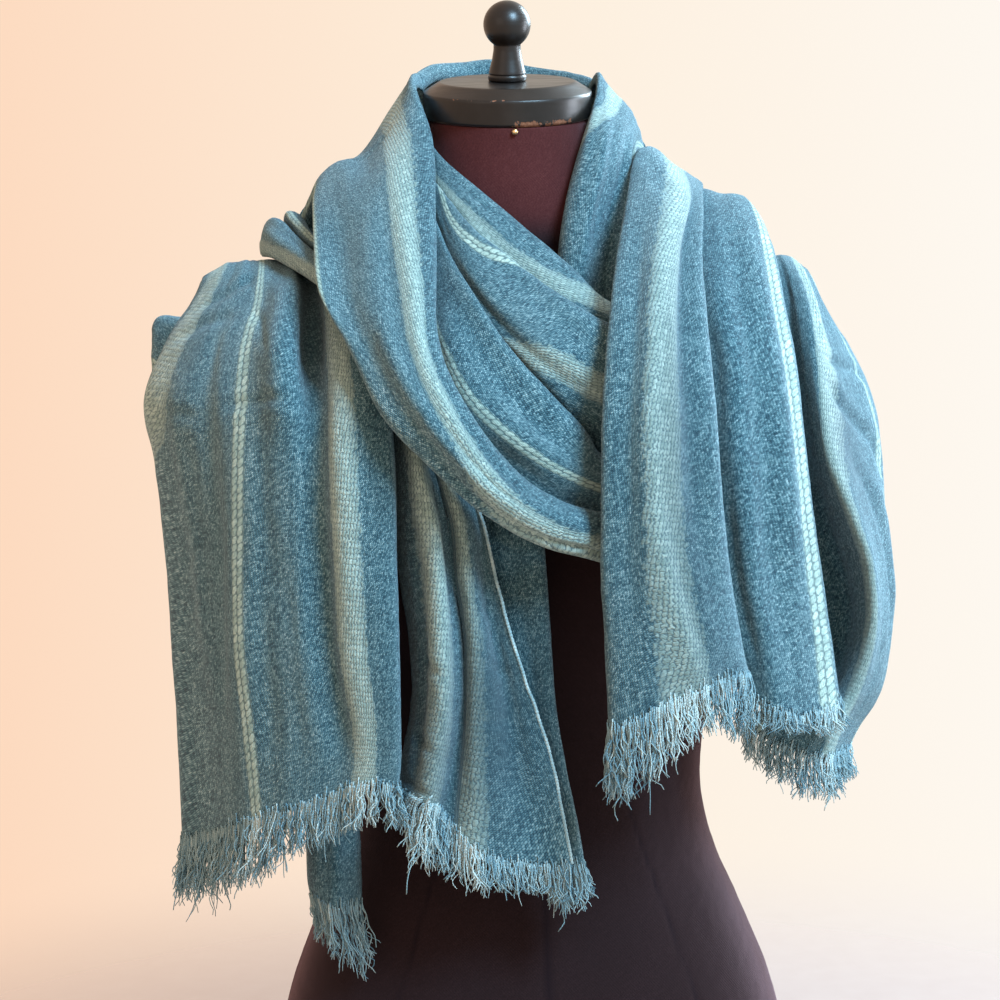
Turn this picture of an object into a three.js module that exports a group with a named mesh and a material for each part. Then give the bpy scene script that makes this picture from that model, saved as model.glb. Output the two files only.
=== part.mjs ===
// A limbless dress form with a long woven scarf wound around its neck.
// Millimetres, +Z up, the form faces -Y. The origin is the centre of the flat base.
// The scarf is a set of cloth stretches. Each stretch is a wall of one thickness, made
// through a table: the columns are its folds and edges across the cloth, the rows are
// sections along the cloth, and every entry is the place [x, y, z] of that fold there.
import * as THREE from "three";

// ---- driving sizes -------------------------------------------------------------
const CLOTH_THICKNESS = 1.6;      // wall of every cloth stretch and fringe
const FRINGE_GAP = 1.4;           // from a hem to its fringe
const ROW_STEP = 38;              // longest facet along the cloth
const FOLD_STEP = 15;             // longest facet across the cloth
const SEAM = 0.3;                 // gap between the hard pieces

const BASE_THICKNESS = 12;
const BASE_HALF_WIDTH = 165;
const BASE_FRONT = 107;
const BASE_BACK = 117;
const BASE_SQUARENESS = 2.25;
const BASE_EDGE = 2;              // chamfer of the base board

const FORM_BOTTOM = BASE_THICKNESS + SEAM;
const FORM_RING = 36;             // facets around the torso
const NECK_TOP = 729;             // height of the neck's axis end
const NECK_TOP_Y = -3;
const CAP_TILT = 11 * Math.PI / 180;   // the cap leans forward
const TILT_START = 690;           // from here up the neck takes the lean

const BUST_OUT = 26;              // fullness added to the front
const BUST_X = 72;
const BUST_Z = 450;
const BUST_SPREAD_X = 46;
const BUST_SPREAD_Z = 54;

const CAP_RADIUS = 55.5;
const CAP_SIDE = 17;
const CAP_HEIGHT = 23.5;
const CAP_TOP_RADIUS = 45.5;
const BALL_RADIUS = 15.4;
const BALL_CENTRE = 36;           // above the cap's top
const STEM_BASE = 12.4;
const STEM_NECK = 8.9;

const PIN_RADIUS = 2.1;
const PIN_X = -1.5;
const PIN_Z = 715.9;

// ---- the torso: one row a section -------------------------------------------------
// z, half_width, front depth, back depth, centre_y, squareness of the outline
const FORM_SECTIONS = [
  [FORM_BOTTOM, 170, 110, 120, 0, 2.25],
  [50, 174, 113, 123, 0, 2.25],
  [90, 174, 114, 123, 0, 2.25],
  [143, 165, 109, 118, 0, 2.25],
  [200, 143, 101, 107, 0, 2.2],
  [240, 127, 96, 100, 0, 2.2],
  [281, 119, 93, 92, 0, 2.2],
  [330, 123, 97, 93, 0, 2.2],
  [380, 131, 104, 97, 0, 2.2],
  [430, 138, 111, 101, 0, 2.2],
  [470, 143, 113, 104, 0, 2.2],
  [510, 149, 109, 107, 0, 2.25],
  [545, 159, 99, 106, 1, 2.3],
  [575, 171, 86, 102, 2, 2.35],
  [597, 176, 74, 95, 3, 2.35],
  [612, 169, 66, 87, 4, 2.3],
  [628, 147, 60, 79, 5, 2.2],
  [645, 114, 57, 71, 6, 2.1],
  [659, 86, 56, 65, 6, 2],
  [672, 69, 56, 60, 5, 2],
  [688, 60, 55, 56, 3, 2],
  [705, 56, 54, 54, 1, 2],
  [NECK_TOP, 53, 53, 53, -3, 2],
];

// ---- the scarf's stretches -------------------------------------------------------
const STRETCHES = {
  // the end that hangs in front of the left shoulder
  left_front_end: {
    folds: ["back_turn", "left_edge", "light_stripe", "valley_1", "narrow_stripe", "hollow", "valley_2", "wide_stripe", "right_edge", "turn_under"],
    rows: [
      { mm: 0, at: [[-194, 60, 610], [-198, 55, 614], [-192, 62, 617], [-182, 68, 618], [-168, 71, 622], [-150, 70, 628], [-138, 68, 632], [-126, 66, 637], [-108, 62, 644], [-110, 59, 637]] },
      { mm: 33, at: [[-195.7, 44, 616.7], [-200.1, 40, 620.3], [-191.2, 38, 626], [-179, 36, 630.4], [-164.2, 34, 634], [-146.7, 32, 638.2], [-134.5, 30, 644.5], [-122.3, 28, 650.8], [-104.9, 24, 654.3], [-109, 26, 651.1]] },
      { mm: 65, at: [[-196.8, 14, 625], [-201, 8, 629.7], [-188.9, 4, 636.6], [-177.1, 0, 638.2], [-164.1, -2, 639.1], [-147.7, 0, 638.7], [-135.1, 2, 642.3], [-122.5, -2, 649.7], [-111.4, -7, 653.9], [-114.5, 2, 650.9]] },
      { mm: 130, at: [[-205.6, 30, 611.9], [-211.3, 2, 613.1], [-201.7, -20, 614.4], [-187.9, -38, 614.9], [-167.6, -58, 614.5], [-149, -75, 614.2], [-134, -68, 613], [-120.9, -88, 611.7], [-104.5, -104, 605.9], [-111.5, -92, 603.4]] },
      { mm: 172, at: [[-223.7, 36, 580.9], [-231, 6, 582.8], [-220.8, -24, 584.2], [-202.8, -54, 584.6], [-176.8, -86, 584.3], [-153.1, -114, 584.5], [-133.4, -98, 582.1], [-120.8, -126, 582.7], [-97.6, -140, 576.5], [-104.1, -124, 573.6]] },
      { mm: 206, at: [[-235.9, 40, 546.8], [-244.3, 8, 549.6], [-232.9, -28, 551.3], [-210, -66, 553.3], [-180.4, -102, 554.3], [-152.6, -132, 555.1], [-135.1, -124, 553.4], [-121.5, -150, 554.5], [-92.2, -157, 551.5], [-98.5, -140, 548.9]] },
      { mm: 244, at: [[-232.3, 40, 506.1], [-239.4, 6, 509.2], [-228.1, -30, 511.8], [-209, -70, 515.1], [-183, -110, 518.1], [-152.8, -137, 519.3], [-135, -143, 519.1], [-121.9, -162, 520.2], [-90.3, -166, 519.4], [-96.5, -149, 517]] },
      { mm: 301, at: [[-226.8, 38, 444.7], [-235.2, 2, 449.6], [-222.7, -34, 453.6], [-205.7, -72, 457.6], [-185.8, -112, 461.8], [-153.8, -139, 463.8], [-135.4, -148, 464.2], [-121, -165, 465.7], [-91, -168, 464.9], [-97.2, -151, 462.4]] },
      { mm: 362, at: [[-224.8, 34, 378], [-233.3, -2, 384.5], [-220.2, -36, 389.6], [-204.5, -74, 395.4], [-187, -113, 401.2], [-154.2, -140, 404.2], [-134, -150, 405], [-119.5, -165, 406.8], [-91.7, -168, 406.1], [-98, -151, 402.9]] },
      { mm: 419, at: [[-223.4, 30, 313.1], [-231.2, -6, 321.1], [-218.2, -38, 327.9], [-203.1, -75, 335.7], [-183.1, -112, 343.1], [-150.2, -139, 348.4], [-128.6, -150, 351.5], [-113.4, -163, 354.7], [-93.2, -166, 355.5], [-99.6, -150, 351.9]] },
      { mm: 467, at: [[-222.5, 26, 249.3], [-231.3, -8, 255.8], [-216.9, -40, 266.6], [-201, -76, 278.8], [-180.8, -111, 292.8], [-152.9, -137, 307.1], [-131.6, -149, 316.3], [-116.2, -161, 323.8], [-95.4, -164, 322.2], [-101.8, -148, 317.6]] },
    ],
  },
  // the narrow tail that shows below and behind the left front end
  left_rear_tail: {
    folds: ["left_edge", "fold", "crest", "inner", "right_edge"],
    rows: [
      { mm: 0, at: [[-147.6, -72, 450.1], [-140.5, -96, 451.6], [-130.8, -104, 451.6], [-122, -100, 451.4], [-114.2, -92, 451.3]] },
      { mm: 64, at: [[-148, -70, 385.6], [-140.9, -93, 388], [-131.2, -101, 387.7], [-122.3, -97, 387.8], [-114.4, -89, 387.3]] },
      { mm: 129, at: [[-149.1, -68, 320.4], [-141.9, -90, 322.9], [-132.1, -98, 322.9], [-123.2, -94, 322.8], [-115.3, -86, 322.6]] },
      { mm: 187, at: [[-150, -66, 260.9], [-142.7, -88, 265], [-132.8, -96, 265.9], [-123.8, -91, 264.7], [-116.5, -83, 263.5]] },
      { mm: 212, at: [[-149.5, -66, 237.8], [-142.3, -88, 240.2], [-132.4, -96, 240.6], [-124, -91, 240], [-116.7, -83, 240]] },
      { mm: 222, at: [[-147.9, -67, 230], [-140.2, -88, 230.3], [-132.2, -95, 229.9], [-124.4, -91, 228.9], [-117.1, -84, 228.5]] },
    ],
  },
  // the front layer of the second end, beside the centre
  left_inner_end: {
    folds: ["tuck_left", "roll_left", "light_stripe", "valley", "second_stripe", "slope", "flat", "selvedge"],
    rows: [
      { mm: 0, at: [[-93.6, -118, 552.3], [-88.4, -124, 553.7], [-79.1, -130, 552.5], [-71.5, -124, 547.6], [-65.1, -126, 543.8], [-59.5, -123, 539.2], [-54.5, -121, 534], [-49.2, -121, 528.3]] },
      { mm: 41, at: [[-90, -130, 516.4], [-85.8, -142, 517.8], [-76.2, -160, 518.4], [-66.2, -143, 510.5], [-59.6, -150, 508.5], [-52.7, -146, 505.5], [-48.3, -143, 502], [-44.8, -144, 498.9]] },
      { mm: 72, at: [[-89.5, -132, 479.9], [-85.3, -144, 481.1], [-70.9, -170, 483.4], [-59.2, -149, 480], [-52.3, -160, 481.5], [-45.1, -154, 480], [-41.6, -149, 479.3], [-38.8, -151, 479.4]] },
      { mm: 105, at: [[-88.1, -132, 446.1], [-82.9, -146, 447.8], [-67.9, -171, 450.5], [-57.1, -149, 447.1], [-50.4, -162, 448.6], [-42, -155, 447.3], [-36.5, -149, 445.6], [-32, -152, 445.8]] },
      { mm: 146, at: [[-83.3, -132, 405.8], [-78.2, -147, 408], [-67.9, -171, 411.5], [-52.3, -150, 407.3], [-46.8, -162, 409], [-36.3, -154, 406.6], [-28.6, -149, 404.8], [-22.3, -153, 404.6]] },
      { mm: 186, at: [[-83.4, -132, 365.4], [-78.8, -147, 368.1], [-67.8, -170, 371.4], [-53.6, -150, 366.2], [-47.2, -161, 368.7], [-31.4, -154, 366.5], [-19.9, -149, 365], [-9.9, -153, 364.7]] },
      { mm: 224, at: [[-90.6, -132, 331.4], [-85.9, -146, 334.3], [-73.5, -168, 337.2], [-58.3, -150, 330.6], [-48.9, -161, 330.7], [-29.5, -155, 327.1], [-13.7, -150, 323.9], [1.3, -153, 322.6]] },
      { mm: 253, at: [[-94.3, -132, 314.1], [-90.1, -144, 315.4], [-77.6, -165, 314.1], [-63.4, -150, 301.7], [-49.9, -160, 294.7], [-28.7, -155, 289.8], [-10.3, -150, 288.8], [6, -153, 291.2]] },
      { mm: 265, at: [[-94.9, -132, 312.2], [-91.3, -143, 313.3], [-78.8, -164, 311.5], [-64.2, -150, 295.5], [-50.3, -160, 279.9], [-29.3, -155, 269.3], [-9.1, -150, 263.7], [10.3, -153, 265.2]] },
    ],
  },
  // the layer behind it
  left_inner_rear: {
    folds: ["tuck", "mid_left", "mid", "light_edge", "turn_under"],
    rows: [
      { mm: 0, at: [[-52.2, -128, 508.7], [-40.5, -134, 511.2], [-28.5, -137, 513.5], [-16.3, -138, 515.5], [-20.7, -128, 516.1]] },
      { mm: 36, at: [[-41.8, -131, 477.9], [-29, -138, 479.4], [-16.4, -141, 479.8], [-4.2, -141, 479.9], [-9, -130, 478.9]] },
      { mm: 72, at: [[-36.6, -131, 443.8], [-24.4, -138, 444.2], [-12.5, -141, 444.1], [-0.8, -141, 443.6], [-5.7, -130, 442.3]] },
      { mm: 112, at: [[-30.4, -131, 403.2], [-19.4, -138, 403.8], [-8.7, -141, 403.8], [1.2, -141, 403.4], [-3.6, -130, 401.8]] },
      { mm: 156, at: [[-21.7, -131, 359.1], [-12.5, -138, 360], [-4.9, -141, 360.2], [3.2, -141, 359.8], [-1.7, -130, 357.9]] },
      { mm: 195, at: [[-9, -131, 320.7], [-3, -138, 321.9], [2.6, -143, 322.8], [8.6, -144, 322.7], [4.6, -132, 320.2]] },
      { mm: 230, at: [[-2.4, -131, 285.5], [3, -138, 287], [8.3, -145, 288.4], [14.8, -147, 288.6], [11, -134, 285.5]] },
      { mm: 257, at: [[-1.8, -131, 259.4], [4.8, -138, 259.6], [10.6, -146, 261.5], [17.8, -148, 262.8], [14.1, -134, 259.3]] },
    ],
  },
  // the roll that runs from the left shoulder across the chest to the right
  neck_loop_front: {
    folds: ["outer_turn", "outer_edge", "band_1", "band_2", "light_stripe", "band_3", "inner_edge", "inner_turn"],
    rows: [
      { mm: 0, at: [[-131, 56.5, 651], [-138, 51.5, 663], [-114, 47.5, 692], [-92, 41.5, 712], [-74, 35.5, 738], [-62, 31.5, 754], [-56, 27.5, 760], [-53, 25.5, 749]] },
      { mm: 38, at: [[-121.5, 18, 679], [-128.1, 12, 684.8], [-112.5, 8, 701.9], [-92.8, 4, 705.9], [-74.5, 0, 729.9], [-67, -3, 743.1], [-62.1, -3, 752.7], [-59.9, 3, 747.3]] },
      { mm: 100, at: [[-121.6, -36, 667.7], [-129.8, -38, 673], [-111.8, -56, 678.3], [-93.9, -68, 683.7], [-77.3, -62, 699.7], [-64.2, -58, 705.8], [-54.4, -48, 711.2], [-58.1, -36, 709.4]] },
      { mm: 157, at: [[-122.3, -73, 647], [-130.5, -81, 649], [-111.8, -94, 648.9], [-94.1, -110, 650.7], [-78.8, -112, 657.5], [-66.7, -108, 662.1], [-57.7, -96, 665.8], [-61, -82, 665.7]] },
      { mm: 211, at: [[-121.8, -122, 618.8], [-129.8, -127, 617.9], [-111.4, -132, 617.4], [-92.9, -146, 619.4], [-77.7, -151, 621.3], [-67.2, -147, 623.4], [-60.8, -135, 624.9], [-64, -121, 624.4]] },
      { mm: 258, at: [[-107.1, -146, 586.5], [-114.7, -156, 585.9], [-101.3, -171, 585.4], [-87.9, -182, 586], [-76.4, -185, 587.4], [-68.4, -180, 589.9], [-63.3, -168, 592.3], [-66.4, -155, 590.9]] },
      { mm: 302, at: [[-86.4, -174, 544.7], [-93.6, -186, 542.2], [-84, -200, 546.8], [-74.5, -207, 551.5], [-66.2, -205, 556.9], [-60.1, -196, 560.8], [-56, -183, 562.9], [-58.7, -172, 559.5]] },
      { mm: 326, at: [[-69.2, -180, 526.3], [-76, -192, 523.4], [-68.8, -205, 527.6], [-62.2, -210, 531.8], [-55.6, -209, 536.7], [-50.1, -200, 541], [-45.8, -187, 543.5], [-48.4, -176, 540.5]] },
      { mm: 361, at: [[-45.4, -182, 500.2], [-50.8, -194, 497.5], [-45.4, -206, 501.4], [-40, -211, 505.7], [-34.5, -209, 509.4], [-29.4, -200, 513], [-25.6, -188, 515.3], [-28.1, -178, 512.2]] },
      { mm: 399, at: [[-10.3, -175, 476.7], [-14.9, -187, 471.8], [-12.4, -197, 477], [-9.3, -201, 482.6], [-6.1, -200, 487.6], [-3.3, -193, 492], [-0.9, -184, 495.2], [-2.7, -175, 491.9]] },
      { mm: 444, at: [[32.4, -164, 461.1], [30.8, -173, 455], [30.5, -180, 460.7], [30.8, -183, 467.1], [31.7, -182, 473.5], [33, -178, 479.5], [33.9, -173, 483.7], [33, -167, 480.7]] },
      { mm: 479, at: [[66, -152, 451.5], [64.4, -160, 445.2], [63.4, -166, 450.9], [63.2, -168, 457.9], [63.6, -167, 465], [64.2, -164, 471.3], [64.7, -162, 475.9], [63.9, -159, 473.1]] },
    ],
  },
  // the upper turn across the front of the neck
  neck_cross_upper: {
    folds: ["rim_turn", "rim", "band_1", "band_2", "tuck"],
    rows: [
      { mm: 0, at: [[-55, -28, 705.9], [-53.1, -38, 708.6], [-54.5, -45, 700.6], [-55.6, -47, 693], [-56.2, -44, 686.2]] },
      { mm: 13, at: [[-52.1, -38, 699], [-49.1, -49, 701.6], [-51.2, -56, 693.1], [-52.8, -58, 685.6], [-53.4, -54, 679.4]] },
      { mm: 52, at: [[-28.9, -58, 676.8], [-25.6, -70, 677.6], [-31.4, -81, 668.7], [-36.2, -83, 661.3], [-38.5, -79, 655.3]] },
      { mm: 94, at: [[0.9, -70, 650], [3.6, -84, 650.3], [-4.5, -97, 639.9], [-10.7, -100, 631.4], [-14.7, -95, 624.1]] },
      { mm: 136, at: [[26.1, -90, 625.4], [29.5, -102, 625.4], [22.8, -117, 615.8], [17.7, -121, 607.5], [14.6, -115, 600.7]] },
      { mm: 162, at: [[42.6, -100, 609.5], [44.6, -111, 609], [40.9, -126, 600.1], [38.4, -129, 592.4], [37.9, -123, 585.5]] },
      { mm: 188, at: [[64.3, -104, 598.4], [66.4, -114, 597.3], [63.1, -128, 587.9], [61.2, -131, 579.5], [61.5, -125, 573.2]] },
      { mm: 201, at: [[76.6, -105, 591.8], [78.8, -114, 590.8], [75.4, -128, 581.4], [73.5, -131, 573], [73.8, -125, 566.7]] },
    ],
  },
  // the middle turn below it
  neck_cross_middle: {
    folds: ["crest_turn", "crest", "band_1", "band_2", "tuck"],
    rows: [
      { mm: 0, at: [[-56.4, -54, 683.3], [-54.6, -64, 685.4], [-56, -70, 675.8], [-57, -71, 666.5], [-57.5, -67, 659.1]] },
      { mm: 18, at: [[-51.3, -66, 673.3], [-48.4, -77, 675.4], [-51.1, -84, 666], [-52.8, -86, 657.4], [-53.3, -82, 650]] },
      { mm: 56, at: [[-36, -92, 652.5], [-32.2, -104, 652.2], [-38.3, -112, 640.1], [-43.5, -112, 629.9], [-46.2, -105, 621.4]] },
      { mm: 98, at: [[-8.8, -110, 628.3], [-5.3, -122, 627.6], [-15.8, -135, 612.2], [-24.1, -136, 599.9], [-28.4, -128, 591.4]] },
      { mm: 143, at: [[18.9, -130, 606.9], [22.1, -142, 605.8], [11.6, -157, 586.7], [3.6, -160, 571], [2.3, -148, 552.5]] },
      { mm: 173, at: [[36.8, -140, 596.3], [39.5, -150, 594.7], [35.1, -163, 573.1], [32.4, -161, 548], [28.5, -146, 518.2]] },
      { mm: 207, at: [[65.4, -140, 585.8], [67.4, -149, 584.2], [64.8, -161, 560.1], [64.8, -158, 534.7], [65, -142, 499.4]] },
    ],
  },
  // the lowest turn, which dips to the crossing
  neck_cross_lower: {
    folds: ["crest_turn", "crest", "band_1", "narrow_stripe", "band_2", "tuck"],
    rows: [
      { mm: 0, at: [[-58.9, -76, 657.7], [-56.3, -84, 660.6], [-58.8, -88, 651.9], [-60.9, -88, 643.3], [-62.3, -86, 634.1], [-63.6, -83, 625.5]] },
      { mm: 35, at: [[-53.6, -96, 638.8], [-50.6, -105, 640.4], [-57.4, -108, 626.6], [-62.8, -109, 613.3], [-67.5, -108, 600], [-71.2, -104, 589.6]] },
      { mm: 75, at: [[-43.6, -122, 616.5], [-39.7, -132, 615.9], [-48.5, -137, 600], [-57.7, -140, 583.6], [-64.6, -138, 569.3], [-69.9, -131, 557.7]] },
      { mm: 119, at: [[-25.2, -142, 584.4], [-20.9, -152, 582.8], [-32.5, -160, 565.1], [-42.9, -165, 550.9], [-51.6, -164, 535.7], [-58.4, -156, 524]] },
      { mm: 155, at: [[-1.7, -156, 556.1], [2.4, -166, 554.7], [-9.8, -174, 537.2], [-20, -178, 528.4], [-28.8, -168, 513.1], [-35.8, -157, 499.8]] },
      { mm: 188, at: [[20.1, -156, 533.7], [24, -166, 530.7], [14.6, -175, 516.9], [7, -177, 510.2], [-1.2, -168, 491.8], [-7, -158, 477.1]] },
      { mm: 215, at: [[29.5, -156, 519], [33.1, -164, 517.1], [32.2, -172, 506.4], [32.6, -172, 498], [31.6, -160, 478.2], [30, -152, 463.9]] },
      { mm: 250, at: [[61.4, -150, 508.8], [64.4, -157, 508.1], [63.7, -163, 497.2], [64.5, -161, 487.3], [64.7, -151, 469.7], [64.2, -145, 456.8]] },
    ],
  },
  // the collar that comes down on the right of the neck
  neck_collar_right: {
    folds: ["outer_turn", "outer_edge", "band_1", "band_2", "light_stripe", "band_3", "inner_edge", "inner_turn"],
    rows: [
      { mm: 0, at: [[97, 54.5, 698], [100, 50.5, 706], [96, 46.5, 716], [88, 42.5, 727], [78, 37.5, 739], [69, 33.5, 748], [63, 30.5, 754], [59, 28.5, 744]] },
      { mm: 41, at: [[86.8, 8, 702], [85.3, 2, 709.6], [85.7, -1, 720], [80.9, -3, 731], [70.9, -4, 739.7], [64.4, -4, 746.3], [61.5, -2, 751.7], [61, 4, 746.3]] },
      { mm: 60, at: [[84.1, 0, 699.1], [82.8, -8, 705.2], [81.4, -14, 715.3], [76.1, -19, 724.9], [64.7, -25, 730.5], [58.1, -26, 734.4], [56.1, -22, 737.3], [56.7, -13, 733.4]] },
      { mm: 78, at: [[82.5, -8, 690.8], [79.1, -18, 700.9], [77.1, -27, 709.5], [70.8, -34, 716.3], [59.5, -44, 719.7], [52.6, -43, 721.2], [49.6, -37, 722.3], [49.5, -28, 719]] },
      { mm: 115, at: [[81, -38, 670.3], [74.5, -50, 678.4], [70.3, -45, 683.1], [61.7, -50, 686.3], [51.2, -64, 688.5], [43.8, -62, 689.4], [38.1, -53, 689.9], [36.9, -42, 686.6]] },
      { mm: 151, at: [[75, -58, 641.9], [68.3, -72, 648.8], [60, -60, 652.4], [50.3, -65, 655.1], [41, -76, 657], [34.3, -74, 657.8], [28.5, -65, 658.2], [28, -54, 654.6]] },
      { mm: 180, at: [[68.8, -68, 615.3], [61.2, -80, 621.3], [53.1, -71, 624], [44.7, -76, 626.8], [36.2, -82, 629.5], [29.6, -80, 631], [23.7, -72, 631.8], [23, -62, 628]] },
      { mm: 203, at: [[62.8, -75, 596.6], [56.4, -83, 600.7], [49.1, -77, 602.1], [41, -80, 603.7], [33.5, -84, 605.8], [26.8, -82, 607.2], [20.8, -75, 608], [19.9, -67, 605.3]] },
    ],
  },
  // the end that hangs from under the crossing on the right
  right_front_end: {
    folds: ["left_turn", "left_edge", "band_1", "wide_stripe", "band_2", "fold_edge", "fold_turn"],
    rows: [
      { mm: 0, at: [[36, 97, 688], [38, 100, 696], [45, 103, 692], [56, 108, 680], [66, 112, 664], [76, 116, 648], [74, 114, 640]] },
      { mm: 55, at: [[87, 72, 672], [81, 70, 678], [90, 75, 680], [101, 79, 675], [110, 81, 667], [120, 83, 658], [116, 81, 650]] },
      { mm: 101, at: [[99.9, 38, 688.4], [95.8, 34, 691.7], [104.6, 36, 696.3], [118, 38, 692], [128, 40, 686.5], [135.9, 42, 679.6], [130.3, 46, 675.7]] },
      { mm: 145, at: [[90.1, -8, 698.5], [84.5, -14, 702.9], [93.9, -10, 706.8], [111.5, -4, 693], [120.5, -2, 687.6], [128.9, 0, 682.2], [125.8, 12, 678.7]] },
      { mm: 216, at: [[75.9, -64, 673.4], [67.9, -74, 674.6], [78.9, -84, 676.4], [101.1, -84, 670.9], [109.5, -74, 669.8], [116.3, -62, 667.4], [113.6, -46, 666.7]] },
      { mm: 284, at: [[60.3, -118, 635.5], [51.5, -130, 635.7], [62.4, -142, 635.9], [81.2, -143, 635.4], [92.5, -132, 634.5], [104.1, -114, 634.3], [101.5, -95, 633.3]] },
      { mm: 349, at: [[46.9, -163, 588.2], [37.8, -175, 588.8], [50.3, -186, 588.8], [68.5, -187, 588.2], [83.1, -176, 587.4], [99.3, -158, 585.8], [97.1, -138, 584.7]] },
      { mm: 400, at: [[39.2, -182, 542], [30.2, -194, 543], [43.9, -204, 543.2], [62.5, -205, 542.6], [80.9, -195, 541.3], [100, -177, 538.9], [98, -157, 537.1]] },
      { mm: 449, at: [[36.7, -187, 492.8], [27.7, -199, 494.4], [42.2, -208, 494.7], [62.1, -208, 494], [81.6, -199, 492.3], [101.7, -182, 489.2], [99.7, -162, 486.6]] },
      { mm: 497, at: [[35.8, -186, 445.2], [26.8, -198, 447.2], [41.3, -207, 447.8], [65.5, -207, 446.8], [86.2, -198, 444.6], [106.6, -181, 440.8], [104.6, -161, 437.5]] },
      { mm: 540, at: [[37.7, -183, 402.6], [28.7, -195, 405.1], [43.3, -204, 405.9], [74.7, -204, 404.5], [93.9, -195, 402.1], [113.8, -178, 398.3], [111.9, -158, 394.3]] },
      { mm: 572, at: [[39.6, -180, 356], [30.4, -192, 356.5], [44, -201, 363], [76.6, -201, 377.6], [95.3, -192, 382.2], [117.6, -176, 381.3], [115.5, -157, 376]] },
    ],
  },
  // the layer beside it
  right_side_panel: {
    folds: ["tuck", "valley", "band_1", "band_2", "narrow_stripe", "right_edge", "turn_under"],
    rows: [
      { mm: 0, at: [[132, 68, 659], [140, 68, 660], [151, 68, 658], [162, 68, 655], [170, 68, 649], [174, 68, 643], [170, 70, 638]] },
      { mm: 27, at: [[129.8, 44, 668.9], [137.8, 42, 670], [150.3, 42, 668.3], [162.9, 42, 668], [170.9, 44, 662.4], [176.2, 46, 656.8], [173.3, 52, 654.3]] },
      { mm: 62, at: [[124.8, 18, 674.9], [131.5, 10, 678.5], [142.9, 6, 674.8], [154.8, 4, 673.8], [162.6, 6, 668.3], [168.9, 10, 659.6], [166.2, 20, 656.5]] },
      { mm: 106, at: [[112.7, -36, 655.4], [121.3, -36, 656.4], [133.9, -42, 656], [148.9, -40, 655.7], [161.1, -30, 654.3], [167.3, -20, 649], [165.7, -6, 646.7]] },
      { mm: 139, at: [[107.6, -60, 634.6], [114.7, -64, 635.7], [128.6, -72, 635.9], [145.3, -70, 636.1], [159.1, -58, 635.8], [166.5, -46, 635.7], [164.8, -30, 634.6]] },
      { mm: 189, at: [[101.7, -94, 602.1], [108.8, -100, 603.2], [123.8, -110, 602.9], [141, -107, 602.4], [156.7, -94, 601.7], [164.7, -82, 601.3], [163, -64, 599.8]] },
      { mm: 233, at: [[103.5, -120, 565.5], [111, -126, 566.1], [124.5, -136, 566.1], [141.6, -132, 565.4], [157.8, -117, 564.2], [166.6, -104, 563.4], [164.5, -86, 562]] },
      { mm: 273, at: [[102.9, -132, 527.9], [109.8, -138, 528.1], [123.4, -147, 528.2], [142.5, -142, 527.2], [160.1, -126, 525.5], [168.3, -113, 524.3], [166.5, -94, 521.7]] },
      { mm: 317, at: [[104.6, -138, 485.2], [111.7, -143, 485.4], [125.5, -151, 485.7], [144.9, -145, 484.3], [164.1, -128, 481.9], [172.4, -115, 480.2], [170.6, -96, 477.1]] },
      { mm: 367, at: [[108.7, -138, 435.4], [116.4, -143, 435.8], [129.9, -150, 436.2], [149, -143, 434.4], [170, -127, 431.3], [179, -114, 429.1], [177.3, -95, 425.3]] },
      { mm: 411, at: [[116.4, -137, 392.4], [124.1, -142, 392.9], [135.9, -148, 393.4], [153.9, -141, 391.4], [175.4, -126, 387.9], [185.2, -113, 385.2], [183.5, -94, 380.8]] },
      { mm: 448, at: [[123.6, -136, 361.7], [130.7, -141, 360.4], [141.2, -147, 353.6], [157.3, -140, 348.2], [179, -125, 346.7], [189.3, -113, 349.6], [187.4, -95, 345.6]] },
    ],
  },
  // the broad fold over the right shoulder
  right_side_drape: {
    folds: ["hidden_left", "valley_bottom", "valley_side", "lip_inside", "lip", "band", "outer_edge", "back_turn", "back_end"],
    rows: [
      { mm: 0, at: [[178.9, 48, 622.4], [184.1, 46, 623.6], [188.4, 46, 624.9], [193.3, 46, 625.4], [197.6, 46, 624.6], [203, 48, 621.7], [208.1, 52, 618.8], [208.6, 66, 613.1], [208.6, 90, 608.7]] },
      { mm: 41, at: [[170, 2, 629.3], [175.3, 1, 631.2], [179.4, -2, 632.4], [183.7, -4, 632.3], [188, -3, 630.8], [196.5, 4, 626.6], [203.7, 14, 621], [206.6, 40, 616.1], [209.1, 80, 611.6]] },
      { mm: 85, at: [[160.5, -44, 604.7], [170, -43, 604.4], [175.7, -47, 604.3], [180.2, -56, 605], [185.4, -59, 604.8], [196.3, -42, 603], [208.9, -8, 598.8], [214.7, 34, 596.7], [216.1, 86, 594.4]] },
      { mm: 124, at: [[156.7, -70, 573.2], [169.5, -60, 572.4], [175.3, -66, 572.4], [179.1, -80, 572.8], [183.7, -85, 572.8], [200.6, -60, 570.1], [228.3, -6, 568.7], [236.2, 42, 565.4], [230.3, 92, 562.3]] },
      { mm: 159, at: [[156.5, -80, 540.3], [170.7, -64, 538.9], [177, -68, 538.9], [179.9, -88, 540], [183.7, -96, 540.3], [205.9, -66, 536.5], [243, -4, 533], [250.2, 48, 528.3], [241.2, 96, 524.4]] },
      { mm: 196, at: [[158.5, -80, 506.2], [173.4, -56, 503.7], [181.6, -58, 502.9], [182.9, -90, 505.5], [186.9, -102, 506.3], [212.9, -68, 501.9], [248, -2, 495.9], [254.7, 50, 490], [244.2, 98, 484.9]] },
      { mm: 237, at: [[163.3, -74, 468.6], [180.5, -44, 464.7], [194.6, -44, 462.8], [197.7, -84, 467], [201.3, -100, 468.6], [223.6, -64, 463.8], [251.1, -2, 456.1], [256.6, 48, 449], [244.1, 94, 443.1]] },
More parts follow.
